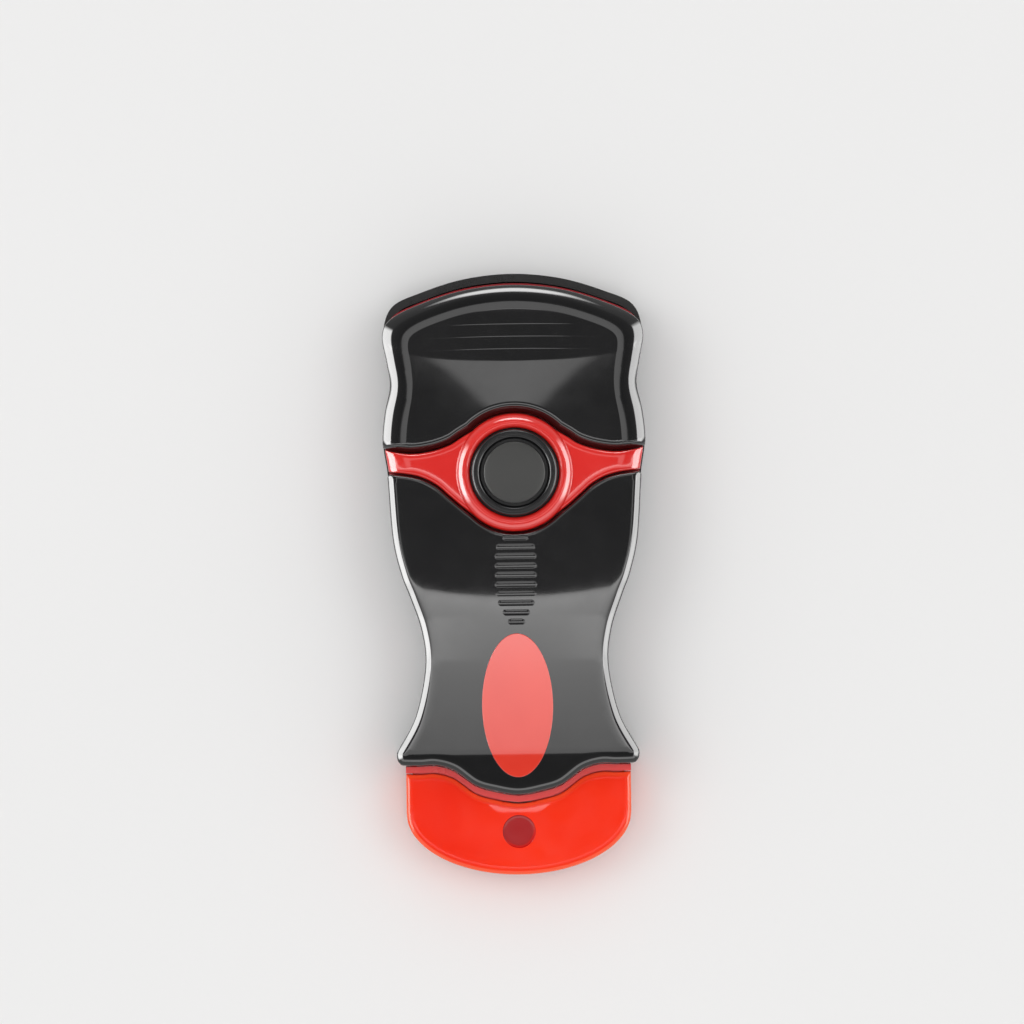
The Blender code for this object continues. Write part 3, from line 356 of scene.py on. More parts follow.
def domed(name, loop, base, height, falls, spacing, detail=None, down=False, rings=(), rows=()):
    """A closed solid over a loop: a smooth surface, an upright wall and a flat base at the other side.

    The surface has points at each fall in from the loop, along the rings and rows, over the detail's own
    grid, and on a plain grid elsewhere.
    """
    loop = without_doubles(loop)
    inner = [inset(loop, fall) for fall in falls] + list(rings)
    grid = spaced(loop.min(0), loop.max(0), spacing)
    grid = grid[inside(loop, grid)]
    grid = grid[distance(loop, grid) > (falls[-1] if falls else 0) + spacing / 2]
    if rings:
        grid = grid[inside(rings[-1], grid) & (distance(rings[-1], grid) > spacing / 2)]
    if detail is not None:
        low = detail.min(0) - DETAIL_MARGIN
        high = detail.max(0) + DETAIL_MARGIN
        if not rings:
            inner = [ring[((ring < low) | (ring > high)).any(1)] for ring in inner]
        grid = grid[((grid < low) | (grid > high)).any(1)]
        detail = detail[inside(loop, detail)]
        detail = detail[distance(loop, detail) > EDGE_MARGIN]
        if rings:
            detail = detail[inside(rings[-1], detail)]
            detail = detail[distance(rings[-1], detail) > RING_MARGIN]
        inner.append(detail)
    if len(rows):
        rows = np.array(rows)
        first = rows[:, 1].min() - ROW_MARGIN
        last = rows[:, 1].max() + ROW_MARGIN
        grid = grid[(grid[:, 1] < first) | (grid[:, 1] > last)]
        rows = rows[inside(loop, rows)]
        inner.append(rows[distance(loop, rows) > falls[-1] + DETAIL_MARGIN])
    points, faces = flat_faces(loop, np.vstack([*inner, grid]))
    heights = height(points)
    normals = slopes(height, points)
    out, _ = edge_normals(loop)
    count = len(loop)
    wall = np.column_stack((out, np.zeros(count)))
    normals[:count] = wall
    verts = [(*p, z) for p, z in zip(points, heights)]
    wall_low = range(len(verts), len(verts) + count)
    verts += [(*p, base) for p in loop]
    base_ring = range(len(verts), len(verts) + count)
    verts += [(*p, base) for p in loop]
    all_faces = list(faces)
    for i in range(count):
        j = (i + 1) % count
        all_faces.append((wall_low[i], wall_low[j], j, i))
    _, floor_faces = flat_faces(loop, np.zeros((0, 2)))
    all_faces += [tuple(base_ring[i] for i in reversed(f)) for f in floor_faces]
    all_normals = np.vstack((normals, wall, np.tile((0, 0, -1), (count, 1))))
    if down:
        verts = [(x, y, 2 * base - z) for x, y, z in verts]
        all_faces = [f[::-1] for f in all_faces]
        all_normals = all_normals * (1, 1, -1)
    return smooth_mesh(name, verts, all_faces, all_normals)


def smooth_mesh(name, verts, faces, normals):
    mesh = bpy.data.meshes.new(name)
    mesh.from_pydata([tuple(c * MM for c in v) for v in verts], [], faces)
    mesh.update()
    mesh.shade_smooth()
    mesh.normals_split_custom_set_from_vertices([tuple(n) for n in normals])
    return mesh


def lathe(name, profile, x, y, steps, sharp=40):
    """A solid of revolution about an upright axis, from a profile that starts and ends on it."""
    bm = bmesh.new()
    rings = []
    for radius, z in profile:
        if radius == 0:
            rings.append([bm.verts.new((x * MM, y * MM, z * MM))])
        else:
            rings.append([bm.verts.new(((x + radius * math.cos(2 * math.pi * i / steps)) * MM,
                                        (y + radius * math.sin(2 * math.pi * i / steps)) * MM, z * MM))
                          for i in range(steps)])
    closed = profile[0][0] > 0
    for low, high in zip(rings, rings[1:] + (rings[:1] if closed else [])):
        for i in range(steps):
            j = (i + 1) % steps
            corners = [low[i % len(low)], low[j % len(low)], high[j % len(high)], high[i % len(high)]]
            unique = list(dict.fromkeys(corners))
            if len(unique) > 2:
                bm.faces.new(unique)
    bmesh.ops.recalc_face_normals(bm, faces=bm.faces)
    mesh = closed_mesh(name, bm)
    mesh.shade_smooth()
    mesh.set_sharp_from_angle(angle=math.radians(sharp))
    return mesh


def upright(name, radius, x, y, low, high, steps=40):
    return lathe(name, ((0, low), (radius, low), (radius, high), (0, high)), x, y, steps)


def arc_points(centre, radius, start, end, steps):
    """Profile points on an arc, in degrees."""
    found = []
    for i in range(steps + 1):
        angle = math.radians(start + (end - start) * i / steps)
        found.append((centre[0] + radius * math.cos(angle), centre[1] + radius * math.sin(angle)))
    return found


def box_mesh(name, xs, ys, zs):
    verts = [(x * MM, y * MM, z * MM) for z in zs for y in ys for x in xs]
    mesh = bpy.data.meshes.new(name)
    faces = [(0, 2, 3, 1), (4, 5, 7, 6), (0, 1, 5, 4), (2, 6, 7, 3), (0, 4, 6, 2), (1, 3, 7, 5)]
    mesh.from_pydata(verts, [], faces)
    return mesh


def pooled(name, meshes):
    """Several closed meshes that don't meet, as one."""
    return closed_mesh(name, opened(*meshes))


WELD = 1e-6
FINE_WELD = 2e-7
CUT_SHARP = 36


def smooth_copy(node, material, slot, angle=32, rides=True):
    """A CAD node's own shape, welded and smooth, that stands for the node."""
    source = frame["nodes"][node]
    bm = opened(source.data)
    bmesh.ops.remove_doubles(bm, verts=bm.verts, dist=WELD)
    bmesh.ops.dissolve_degenerate(bm, edges=bm.edges, dist=WELD)
    bmesh.ops.recalc_face_normals(bm, faces=bm.faces)
    mesh = closed_mesh(node + "_smooth", bm)
    mesh.shade_smooth()
    mesh.set_sharp_from_angle(angle=math.radians(angle))
    return new_object(node + "_smooth", mesh, material, source["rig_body"] if rides else None, slot, node)


def combined(mesh, tools, operation="DIFFERENCE"):
    """A closed mesh with others cut out of it or joined to it, shaded by its angles."""
    obj = placed("combined", mesh)
    for tool_mesh in tools:
        tool = placed("tool", tool_mesh)
        step = obj.modifiers.new("step", "BOOLEAN")
        step.operation = operation
        step.solver = "EXACT"
        step.object = tool
        depsgraph = bpy.context.evaluated_depsgraph_get()
        made = bpy.data.meshes.new_from_object(obj.evaluated_get(depsgraph))
        obj.modifiers.remove(step)
        obj.data = made
        bpy.data.objects.remove(tool, do_unlink=True)
    bm = opened(obj.data)
    bpy.data.objects.remove(obj, do_unlink=True)
    bmesh.ops.remove_doubles(bm, verts=bm.verts, dist=FINE_WELD)
    bmesh.ops.dissolve_degenerate(bm, edges=bm.edges, dist=FINE_WELD)
    clean = closed_mesh(mesh.name, bm)
    own_normals = clean.attributes.get("custom_normal")
    if own_normals:
        clean.attributes.remove(own_normals)
    clean.materials.clear()
    clean.shade_smooth()
    clean.set_sharp_from_angle(angle=math.radians(CUT_SHARP))
    return clean


# Materials

def start_material(name):
    mat = bpy.data.materials.new(name)
    mat.use_nodes = True
    tree = mat.node_tree
    shader = tree.nodes["Principled BSDF"]
    coords = tree.nodes.new("ShaderNodeTexCoord")
    return mat, tree, shader, coords


def fill(tree, node, values):
    """Gives inputs of a node, by name or number, a socket or a plain value."""
    for name, value in values.items():
        if isinstance(value, bpy.types.NodeSocket):
            tree.links.new(value, node.inputs[name])
        else:
            node.inputs[name].default_value = value


def filled(tree, kind, values):
    node = tree.nodes.new("ShaderNode" + kind)
    fill(tree, node, values)
    return node


def noise(tree, coords, scale, detail=3.0, rough=0.5, stretch=None):
    source = coords.outputs["Object"]
    if stretch:
        source = filled(tree, "Mapping", {"Scale": stretch, "Vector": source}).outputs["Vector"]
    values = {"Scale": scale, "Detail": detail, "Roughness": rough, "Vector": source}
    return filled(tree, "TexNoise", values).outputs["Fac"]


def spread(tree, value, low, high, from_low=0.3, from_high=0.7):
    values = {"Value": value, "From Min": from_low, "From Max": from_high, "To Min": low, "To Max": high}
    return filled(tree, "MapRange", values).outputs["Result"]


def mixed(tree, share, low, high):
    """A colour socket that goes from low to high; either is a socket or a colour."""
    node = tree.nodes.new("ShaderNodeMix")
    node.data_type = "RGBA"
    low, high = ((*colour, 1) if isinstance(colour, tuple) else colour for colour in (low, high))
    fill(tree, node, {"Factor": share, 6: low, 7: high})
    return node.outputs[2]


def bump(tree, value, strength, depth):
    values = {"Height": value, "Strength": strength, "Distance": depth * MM}
    return filled(tree, "Bump", values).outputs["Normal"]


def plastic(name, low, high, rough_low, rough_high, grain, grain_depth, coat=0.0, coat_rough=0.05):
    """Moulded plastic: slow colour drift, smudged gloss and a fine grain."""
    mat, tree, shader, coords = start_material(name)
    drift = spread(tree, noise(tree, coords, 60), 0, 1)
    smudges = noise(tree, coords, 240, 5.0, 0.6)
    fill(tree, shader, {"Base Color": mixed(tree, drift, low, high),
                        "Roughness": spread(tree, smudges, rough_low, rough_high),
                        "Normal": bump(tree, noise(tree, coords, grain, 2.0), 0.35, grain_depth),
                        "Coat Weight": coat, "Coat Roughness": coat_rough})
    return mat


def steel(name, colour, rough, stretch):
    """Bright steel with fine lines along one direction."""
    mat, tree, shader, coords = start_material(name)
    lines = noise(tree, coords, 900, 3.0, 0.6, stretch)
    dark = tuple(c * 0.86 for c in colour)
    fill(tree, shader, {"Base Color": mixed(tree, spread(tree, lines, 0, 1), dark, colour),
                        "Roughness": spread(tree, lines, rough * 0.75, rough * 1.3),
                        "Normal": bump(tree, lines, 0.2, 0.01), "Metallic": 1.0})
    return mat


def mesh_value(tree, name):
    node = tree.nodes.new("ShaderNodeAttribute")
    node.attribute_name = name
    return node.outputs["Fac"]


def cap_material():
    """Translucent orange-red plastic, with a painted glow along its edges and painted shade in its dimple."""
    mat, tree, shader, coords = start_material("cap_orange")
    drift = spread(tree, noise(tree, coords, 45), 0, 1)
    body = mixed(tree, drift, (0.88, 0.02, 0.003), (0.96, 0.031, 0.005))
    # Painted glow: lighter orange along the outline, standing in for light gathered in the edges of the translucent
    # plastic
    body = mixed(tree, mesh_value(tree, "rim"), body, (1.0, 0.14, 0.045))
    # Painted shade: a deeper red crescent at the dimple's far side, for its inner wall in shade
    body = mixed(tree, mesh_value(tree, "shade_crescent"), body, (0.62, 0.004, 0.006))
    # Painted shade: the dimple's floor is painted dark red, standing in for a hollow in shade
    body = mixed(tree, mesh_value(tree, "dimple_shade"), body, (0.385, 0.017, 0.019))
    fill(tree, shader, {"Base Color": body,
                        "Roughness": spread(tree, noise(tree, coords, 300, 4.0), 0.08, 0.14),
                        "Specular IOR Level": spread(tree, mesh_value(tree, "patch"), 0.34, 0.85, 0, 1),
                        "Subsurface Weight": 0.15, "Subsurface Radius": (1.0, 0.2, 0.08),
                        "Subsurface Scale": MM})
    return mat


BLACK = plastic("black_gloss", (0.0045, 0.0045, 0.005), (0.0075, 0.0075, 0.008), 0.07, 0.12, 2600, 0.003, 1.0, 0.03)
SHELL_BLACK = plastic("shell_black", (0.007, 0.007, 0.0075), (0.012, 0.012, 0.012), 0.24, 0.36, 3200, 0.01)
BUTTON_BLACK = plastic("button_black", (0.005, 0.005, 0.0055), (0.008, 0.008, 0.0085), 0.2, 0.27, 2600, 0.003)
MATT_BLACK = plastic("button_matt", (0.033, 0.033, 0.032), (0.043, 0.043, 0.041), 0.4, 0.48, 5200, 0.02)
RED = plastic("frame_red", (0.66, 0.013, 0.011), (0.74, 0.02, 0.015), 0.1, 0.16, 2600, 0.003, 1.0)
# Painted shade: a darker copy of the frame's red, so that the plate's edge, which shows between the shell and the
# covers, looks as in shade
SHADED_PLATE_RED = plastic("plate_red_painted_shade", (0.3, 0.005, 0.012), (0.36, 0.008, 0.015), 0.3, 0.4, 2600, 0.008)
HOLDER_RED = plastic("holder_red", (0.7, 0.045, 0.045), (0.78, 0.055, 0.052), 0.2, 0.3, 2600, 0.006)
INLAY_RED = plastic("inlay_red", (0.72, 0.032, 0.014), (0.79, 0.04, 0.018), 0.08, 0.13, 3600, 0.003, 1.0, 0.03)
INLAY_RED.node_tree.nodes["Principled BSDF"].inputs["Specular IOR Level"].default_value = 0.8
ORANGE = cap_material()
SPRING_STEEL = steel("spring_steel", (0.62, 0.63, 0.65), 0.24, (1, 0.05, 1))
SCREW_STEEL = steel("screw_steel", (0.55, 0.55, 0.57), 0.32, (1, 1, 0.2))
BLADE_STEEL = steel("blade_steel", (0.68, 0.69, 0.71), 0.2, (0.04, 1, 1))


# Heights of the covers

def fall_line(tilts):
    """Depths in from an edge, and how far the surface lies below its full height at each."""
    depths = np.linspace(0, tilts[-1][0], 500)
    slope = np.tan(np.radians(np.interp(depths, *np.array(tilts, float).T)))
    steps = (slope[1:] + slope[:-1]) / 2 * np.diff(depths)
    return depths, np.concatenate((np.cumsum(steps[::-1])[::-1], (0.0,)))


GRIP_FALL = fall_line(GRIP_RIM)
NOSE_FALL = fall_line(NOSE_RIM)
GRIP_BAND_FALL = fall_line(GRIP_BAND_RIM)
NOSE_BAND_FALL = fall_line(NOSE_BAND_RIM)
BAND_FALL = fall_line(BAND_RIM)
RING_FALL = fall_line(RING_RIM)
CAP_FALL = fall_line(CAP_RIM)
RIDGE_YS = np.linspace(RIDGE_SLOPES[0][0], RIDGE_SLOPES[-1][0], 4001)
RIDGE_RISE = np.cumsum(np.interp(RIDGE_YS, *np.array(RIDGE_SLOPES).T)) * (RIDGE_YS[1] - RIDGE_YS[0])
RIDGE_RISE += BUTTON_RISE - np.interp(BUTTON_Y, RIDGE_YS, RIDGE_RISE)
SIDE = side_curve(COVER_SETBACK)


def crest(points):
    """Full height over the plan; the breaks in its slope bend up towards the sides."""
    x, y = points.T
    bend = np.zeros(len(points))
    for share, start, setting_in, end, fading in BENDS:
        bend += share * x ** 2 * np.clip((y - start) / setting_in, 0, 1) * np.clip((end - y) / fading, 0, 1)
    return COVER_Z + np.interp(y - bend, RIDGE_YS, RIDGE_RISE) - CROWN * (x / BAND_HALF) ** 2


def both(first, second):
    return np.sqrt(first ** 2 + second ** 2)


# Faint steps across the grip cover's thumb rest

THUMB_STEPS = ((46.55, 12.8), (44.25, 17.7), (41.95, 18.0))
STEP_WIDTH = 0.1
STEP_DROP = 0.007
STEP_BEND = 0.0012
STEP_END = 2.5
STEP_FADE = (2.1, 1.6)
THUMB_HALF = 19.5
THUMB_COLUMNS = 66
STEP_OFFSETS = (-0.3, -0.13, -0.08, -0.04, 0, 0.04, 0.08, 0.13, 0.3)
ROWS_BETWEEN = ((42.5, 43.8), (44.8, 46.1), (47.1, 48.6))
REST_EDGE = (38.7, 40.2)


def thumb_steps(points):
    drop = np.zeros(len(points))
    for y, half in THUMB_STEPS:
        share = np.clip((points[:, 1] - y + STEP_BEND * points[:, 0] ** 2) / STEP_WIDTH + 0.5, 0, 1)
        end = np.clip((half - np.abs(points[:, 0])) / STEP_END, 0, 1)
        fade = np.clip((y + STEP_FADE[0] - points[:, 1]) / STEP_FADE[1], 0, 1)
        drop += STEP_DROP * share * end * fade
    return drop


def thumb_detail():
    """Rows of points along the steps, and along the bent lower edge of the thumb rest."""
    xs = np.linspace(-THUMB_HALF, THUMB_HALF, THUMB_COLUMNS)
    rows = [y + np.array(STEP_OFFSETS) for y, _ in THUMB_STEPS]
    rows += [np.arange(low, high, 0.3) for low, high in ROWS_BETWEEN]
    steps = [np.column_stack((xs, y - STEP_BEND * xs ** 2)) for y in np.concatenate(rows)]
    edge = [np.column_stack((xs, y + BENDS[0][0] * xs ** 2)) for y in np.arange(*REST_EDGE, 0.12)]
    top = edge[-1][:, 1]
    steps = [row[row[:, 1] > top + 0.06] for row in steps]
    return np.vstack(edge + steps)


# Thumb ribs of the nose cover

RIB_SHARES = (0.62, 0.93, 1.0, 1.0, 1.0, 1.0, 0.95, 0.86, 0.64, 0.4)
RIB_PITCH = 1.75
RIB_HALF = 3.9
FIRST_RIB = 12.0
RIB_WIDTH = 0.52
RIB_RISE = 0.05


def ribs(points):
    rise = np.zeros(len(points))
    for i, share in enumerate(RIB_SHARES):
        y = BUTTON_Y - FIRST_RIB - i * RIB_PITCH
        beyond = np.maximum(np.abs(points[:, 0]) - (RIB_HALF * share - RIB_WIDTH), 0)
        away = np.hypot(beyond, points[:, 1] - y) / RIB_WIDTH
        rise += RIB_RISE * np.clip(1 - away ** 2, 0, 1)
    return rise


# The covers: rings of points in from their edges, and the rounded guide that the grip cover's rim follows

RIM_RINGS = (0.05, 0.12, 0.25, 0.5, 0.8, 0.95, 1.15, 1.3, 1.45, 1.7, 2.0)
GUIDE_DEPTH = 3.2
GUIDE_RINGS = (0.4, 0.8, 1.1, 1.2, 1.3, 1.45, 1.7, 2.1)
GUIDE_SPACING = 0.4
GUIDE_ROUNDS = 40
GUIDE_TAIL = 40
COVER_SPACING = 0.9
LIP_BREAK = (-33.9, -32.3)


def rounded(loop, spacing, spread_steps):
    """A loop resampled evenly, with its corners averaged away."""
    closed = np.vstack((loop, loop[:1]))
    along = np.concatenate(([0], np.cumsum(np.linalg.norm(np.diff(closed, axis=0), axis=1))))
    places = np.arange(0, along[-1], spacing)
    even = np.column_stack([np.interp(places, along, closed[:, k]) for k in (0, 1)])
    for _ in range(spread_steps):
        even = (np.roll(even, 1, 0) + even + np.roll(even, -1, 0)) / 3
    return even


def make_grip_cover():
    edge, low = edge_from_side(BAND_TOP_SHARES, 1, GAP, SIDE)
    right = SIDE[SIDE[:, 1] > low]
    outer = np.vstack((right[::-1], mirrored(right[::-1])[1:]))
    inner = np.vstack((mirrored(edge[::-1]), edge[::-1][1:]))
    loop = np.vstack((outer, inner))
    tail = np.array((right[-1], right[-1] - (0, GUIDE_TAIL)))
    whole = np.vstack((tail[::-1], outer, tail * (-1, 1)))
    guide = rounded(inset(without_doubles(whole), GUIDE_DEPTH), GUIDE_SPACING, GUIDE_ROUNDS)

    def rim_depth(points):
        """Depth in from the outline, which turns into the depth in from its rounded guide."""
        out = distance(outer, points, False)
        past = distance(guide, points)
        return np.where(inside(guide, points), GUIDE_DEPTH + past, GUIDE_DEPTH * out / (out + past + 1e-9))

    def height(points):
        fall = both(np.interp(rim_depth(points), *GRIP_FALL),
                    np.interp(distance(inner, points, False), *GRIP_BAND_FALL))
        return crest(points) - fall - thumb_steps(points)

    rings = [ring[inside(loop, ring) & (distance(loop, ring) > 0.3)]
             for ring in [guide] + [inset(guide, depth) for depth in GUIDE_RINGS]]
    mesh = domed("grip_cover_gloss", loop, COVER_Z, height, RIM_RINGS, COVER_SPACING, thumb_detail(), False, rings)
    new_object("grip_cover_gloss", mesh, BLACK, "body", "black_plastic", "grip_cover")


def nose_lines():
    """The nose cover's sides with the lip, and its edge along the band."""
    edge, high = edge_from_side(BAND_LOW_SHARES, -1, GAP, SIDE)
    right = SIDE[SIDE[:, 1] < high]
    return np.vstack((edge, mirrored(edge[:-1]))), np.vstack((mirrored(right[::-1])[:-1], right[::-1]))


def make_nose_cover():
    inner, outer = nose_lines()

    def height(points):
        fall = both(np.interp(distance(outer, points, False), *NOSE_FALL),
                    np.interp(distance(inner, points, False), *NOSE_BAND_FALL))
        return crest(points) - fall + ribs(points)

    first_y = BUTTON_Y - FIRST_RIB
    last_y = first_y - (len(RIB_SHARES) - 1) * RIB_PITCH
    detail = fine_grid(RIB_HALF + 0.5, last_y - 0.8, first_y + 0.35, 0.18, 0.12)
    rows = [(x, y) for y in np.arange(*LIP_BREAK, 0.2) for x in np.arange(-21, 21.1, 0.7)]
    loop = np.vstack((outer, inner[1:-1]))
    mesh = domed("nose_cover_gloss", loop, COVER_Z, height, RIM_RINGS, COVER_SPACING, detail, False, (), rows)
    new_object("nose_cover_gloss", mesh, BLACK, "body", "black_plastic", "nose_cover")


OVAL_Y = -24.35
OVAL_HALF = (6.6, 13.4)
OVAL_STEPS = 96
OVAL_PROUD = 0.04
OVAL_LOW_Z = COVER_Z + 2.0
OVAL_RINGS = (0.1, 0.5, 1.2, 2.0)


def make_inlay():
    _, outer = nose_lines()
    turn = np.linspace(0, 2 * math.pi, OVAL_STEPS, endpoint=False)
    loop = np.column_stack((OVAL_HALF[0] * np.cos(turn), OVAL_Y + OVAL_HALF[1] * np.sin(turn)))

    def height(points):
        return crest(points) - np.interp(distance(outer, points, False), *NOSE_FALL) + OVAL_PROUD

    mesh = domed("oval_inlay_gloss", loop, OVAL_LOW_Z, height, OVAL_RINGS, 0.5)
    new_object("oval_inlay_gloss", mesh, INLAY_RED, "body", "red_inlay", "oval_inlay")


# Red middle frame

FRAME_RECESS = 0.35
BAND_DROP = 0.3
STEM_HOLE = 2.0
TUBE_RADIUS = 2.8
TUBE_HEIGHT = 1.8
BORE_RADIUS = 8.35
COUNTERBORE = 9.2
RING_LIP_Z = RING_TOP_Z - 3.6
RING_INSIDE = 8.3
RING_OUTSIDE = 10.95
RING_ROUND = 0.8
BAND_RINGS = (0.05, 0.12, 0.25, 0.4, 0.7, 1.1, 1.6, 2.2)
RING_DEPTHS = (0, 0.04, 0.09, 0.15, 0.25, 0.4, 0.5, 0.65, 0.8, 0.95, 1.1, 1.25, 1.35, 1.45, 1.55, 1.65)


def make_frame():
    side = inset(full_loop(side_curve(FRAME_SETBACK)), FRAME_RECESS)
    plate = domed("frame_plate", side, PLATE_Z, lambda p: np.full(len(p), PLATE_TOP_Z), (0.2,), 6.0)
    stem = upright("stem", STEM_HOLE, 0, BUTTON_Y, PLATE_Z - OVERRUN, PLATE_TOP_Z + OVERRUN, 48)
    plate = combined(plate, [stem])
    right = side[side[:, 0] > 0]
    right = right[np.argsort(-right[:, 1])]
    upper, high = edge_from_side(BAND_TOP_SHARES, 1, 0, right)
    lower, low = edge_from_side(BAND_LOW_SHARES, -1, 0, right)
    flank = right[(right[:, 1] > low) & (right[:, 1] < high)][::-1]
    loop = np.vstack((lower[::-1], flank, upper, mirrored(upper[:-1]), mirrored(flank), lower[:-1] * (-1, 1)))
    end = np.vstack((lower[:1], flank, upper[:1]))
    ends = (end, end * (-1, 1))

    def height(points):
        side_fall = sum(np.interp(distance(line, points, False), *GRIP_FALL) for line in ends)
        return crest(points) - BAND_DROP - both(side_fall, np.interp(distance(loop, points), *BAND_FALL))

    band = domed("frame_band", loop, (PLATE_Z + PLATE_TOP_Z) / 2, height, BAND_RINGS, 0.8)
    bore = ((0, PLATE_TOP_Z), (COUNTERBORE, PLATE_TOP_Z), (COUNTERBORE, RING_LIP_Z), (BORE_RADIUS, RING_LIP_Z),
            (BORE_RADIUS, RING_TOP_Z + OVERRUN), (0, RING_TOP_Z + OVERRUN))
    band = combined(band, [lathe("bore", bore, 0, BUTTON_Y, 96)])
    depths = np.array(RING_DEPTHS)
    outside = zip(RING_OUTSIDE - depths, RING_TOP_Z - np.interp(depths, *RING_FALL))
    profile = ([(RING_INSIDE, RING_LIP_Z), (RING_OUTSIDE, RING_LIP_Z)] + list(outside)
               + arc_points((RING_INSIDE + RING_ROUND, RING_TOP_Z - RING_ROUND), RING_ROUND, 90, 180, 8))
    ring = lathe("frame_ring", profile, 0, BUTTON_Y, 128)
    foot = PLATE_TOP_Z - 0.2
    head = PLATE_TOP_Z + TUBE_HEIGHT
    profile = ((STEM_HOLE, foot), (TUBE_RADIUS, foot), (TUBE_RADIUS, head), (STEM_HOLE, head))
    tube = lathe("guide_tube", profile, 0, BUTTON_Y, 64)
    # The plate and the guide tube take the darker red with painted shade
    for name, mesh, material in (("frame_plate", plate, SHADED_PLATE_RED), ("frame_band", band, RED),
                                 ("frame_ring", ring, RED), ("guide_tube", tube, SHADED_PLATE_RED)):
        new_object(name, mesh, material, "body", "red_plastic", "middle_frame")


# Back shell with its screws; the head's hole and the leaf's boss as radius and top level

WALL = 1.5
FLOOR = 1.8
BACK_FILLET = 2.6
FILLET_RINGS = (0.03, 0.1, 0.25, 0.5, 0.85, 1.3, 1.9, 2.6)
RAIL_XS = (7.3, 8.7)
RAIL_YS = (-23.0, 35.95)
FOOT_Z = 0.9
BOSS_RADIUS = 2.8
HEAD_HOLE = (2.5, 1.65)
SCREW_HOLE = 1.5
LEAF_SCREW_Y = 39.25
LEAF_BOSS = (2.55, 3.4)
PILOT_RADIUS = 1.25
MOUTH_HALF = 19.6
MOUTH_Z = 3.15
CASE_SCREWS = ((16.0, 38.15), (-16.0, 38.15), (12.2, -11.55), (-12.2, -11.55))

# A case screw from its tip to the side of its head, as radius and level, and the cross in its head
SCREW_PROFILE = ((0, 11.45), (0.72, 11.45), (1.2, 10.25), (1.2, 1.5), (2.2, 1.5), (2.2, 0.95))
HEAD_ROUND = 0.55
CROSS_ZS = (0.2, 1.0)
CROSS_REACH = 1.15
CROSS_WIDTH = 0.24


def make_shell():
    loop = without_doubles(full_loop(side_curve(0)))

    def depth_below(points):
        away = BACK_FILLET - np.minimum(distance(loop, points), BACK_FILLET)
        return 2 * PARTING_Z - (BACK_FILLET - np.sqrt(BACK_FILLET ** 2 - away ** 2))

    outside = domed("back_shell_satin", loop, PARTING_Z, depth_below, FILLET_RINGS, 4.0, None, True)
    top = PARTING_Z + OVERRUN
    above = top + OVERRUN
    rails = [box_mesh("rail", xs, RAIL_YS, (FOOT_Z, above)) for xs in ((-RAIL_XS[1], -RAIL_XS[0]), RAIL_XS)]
    bosses = [upright("boss", BOSS_RADIUS, x, y, FOOT_Z, above) for x, y in CASE_SCREWS]
    boss_radius, boss_z = LEAF_BOSS
    leaf_boss = upright("leaf_boss", boss_radius, 0, LEAF_SCREW_Y, FOOT_Z, boss_z)
    hollow = domed("hollow", inset(loop, WALL), FLOOR, lambda p: np.full(len(p), top), (), 50.0)
    hollow = combined(hollow, [pooled("ribs", rails + bosses + [leaf_boss])])
    head_radius, head_z = HEAD_HOLE
    profile = ((0, -OVERRUN), (head_radius, -OVERRUN), (head_radius, head_z), (SCREW_HOLE, head_z),
               (SCREW_HOLE, top), (0, top))
    holes = [lathe("hole", profile, x, y, 40) for x, y in CASE_SCREWS]
    holes.append(upright("pilot", PILOT_RADIUS, 0, LEAF_SCREW_Y, FOOT_Z, boss_z + OVERRUN))
    mouth_ys = (LIP_Y - OVERRUN, LIP_Y + LIP_DROP + WALL + OVERRUN)
    mouth = box_mesh("mouth", (-MOUTH_HALF, MOUTH_HALF), mouth_ys, (MOUTH_Z, top))
    mesh = combined(outside, [hollow, pooled("holes", holes), mouth])
    new_object("back_shell_satin", mesh, SHELL_BLACK, "body", "black_plastic", "back_shell")


def cross_recess(x, y, low, high, reach, width):
    arm = (-width, width)
    bars = [box_mesh("bar", [x + c for c in (-reach, reach)], [y + c for c in arm], (low, high)),
            box_mesh("bar", [x + c for c in arm], [y + c for c in (-reach, reach)], (low, high))]
    return combined(bars[0], bars[1:], "UNION")


def make_case_screws():
    side, level = SCREW_PROFILE[-1]
    head = arc_points((side - HEAD_ROUND, level), HEAD_ROUND, 0, -90, 5)
    profile = [*SCREW_PROFILE, *head[1:], (0, level - HEAD_ROUND)]
    for i, (x, y) in enumerate(CASE_SCREWS, 1):
        cross = cross_recess(x, y, *CROSS_ZS, CROSS_REACH, CROSS_WIDTH)
        shape = combined(lathe("screw", profile, x, y, 40), [cross])
        new_object(f"case_screw_{i}_cross", shape, SCREW_STEEL, "body", "screw_steel", f"case_screw_{i}")


# Button; the edge of its dish and the disc's dome as radius and rise

BUTTON_WALL = 1.3
BUTTON_SKIN = 1.2
STEM_RADIUS = 1.7
STEM_LOW_Z = 4.25
STEM_BEVEL = 0.3
FLANGE_RADIUS = 8.9
FLANGE_TOP_Z = RING_LIP_Z - GAP
RIM_ROUND = 0.65
RIM_INSIDE = 6.95
RIM_INSIDE_ROUND = 0.45
DISH_EDGE = ((6.35, 0.12), (6.25, 0), (0, 0))
DISC_RADIUS = 5.7
DISC_SIDE = 0.5
DISC_ROUND = 0.25
DISC_DOME = ((4.4, 0.8), (2.2, 0.86), (0, 0.88))


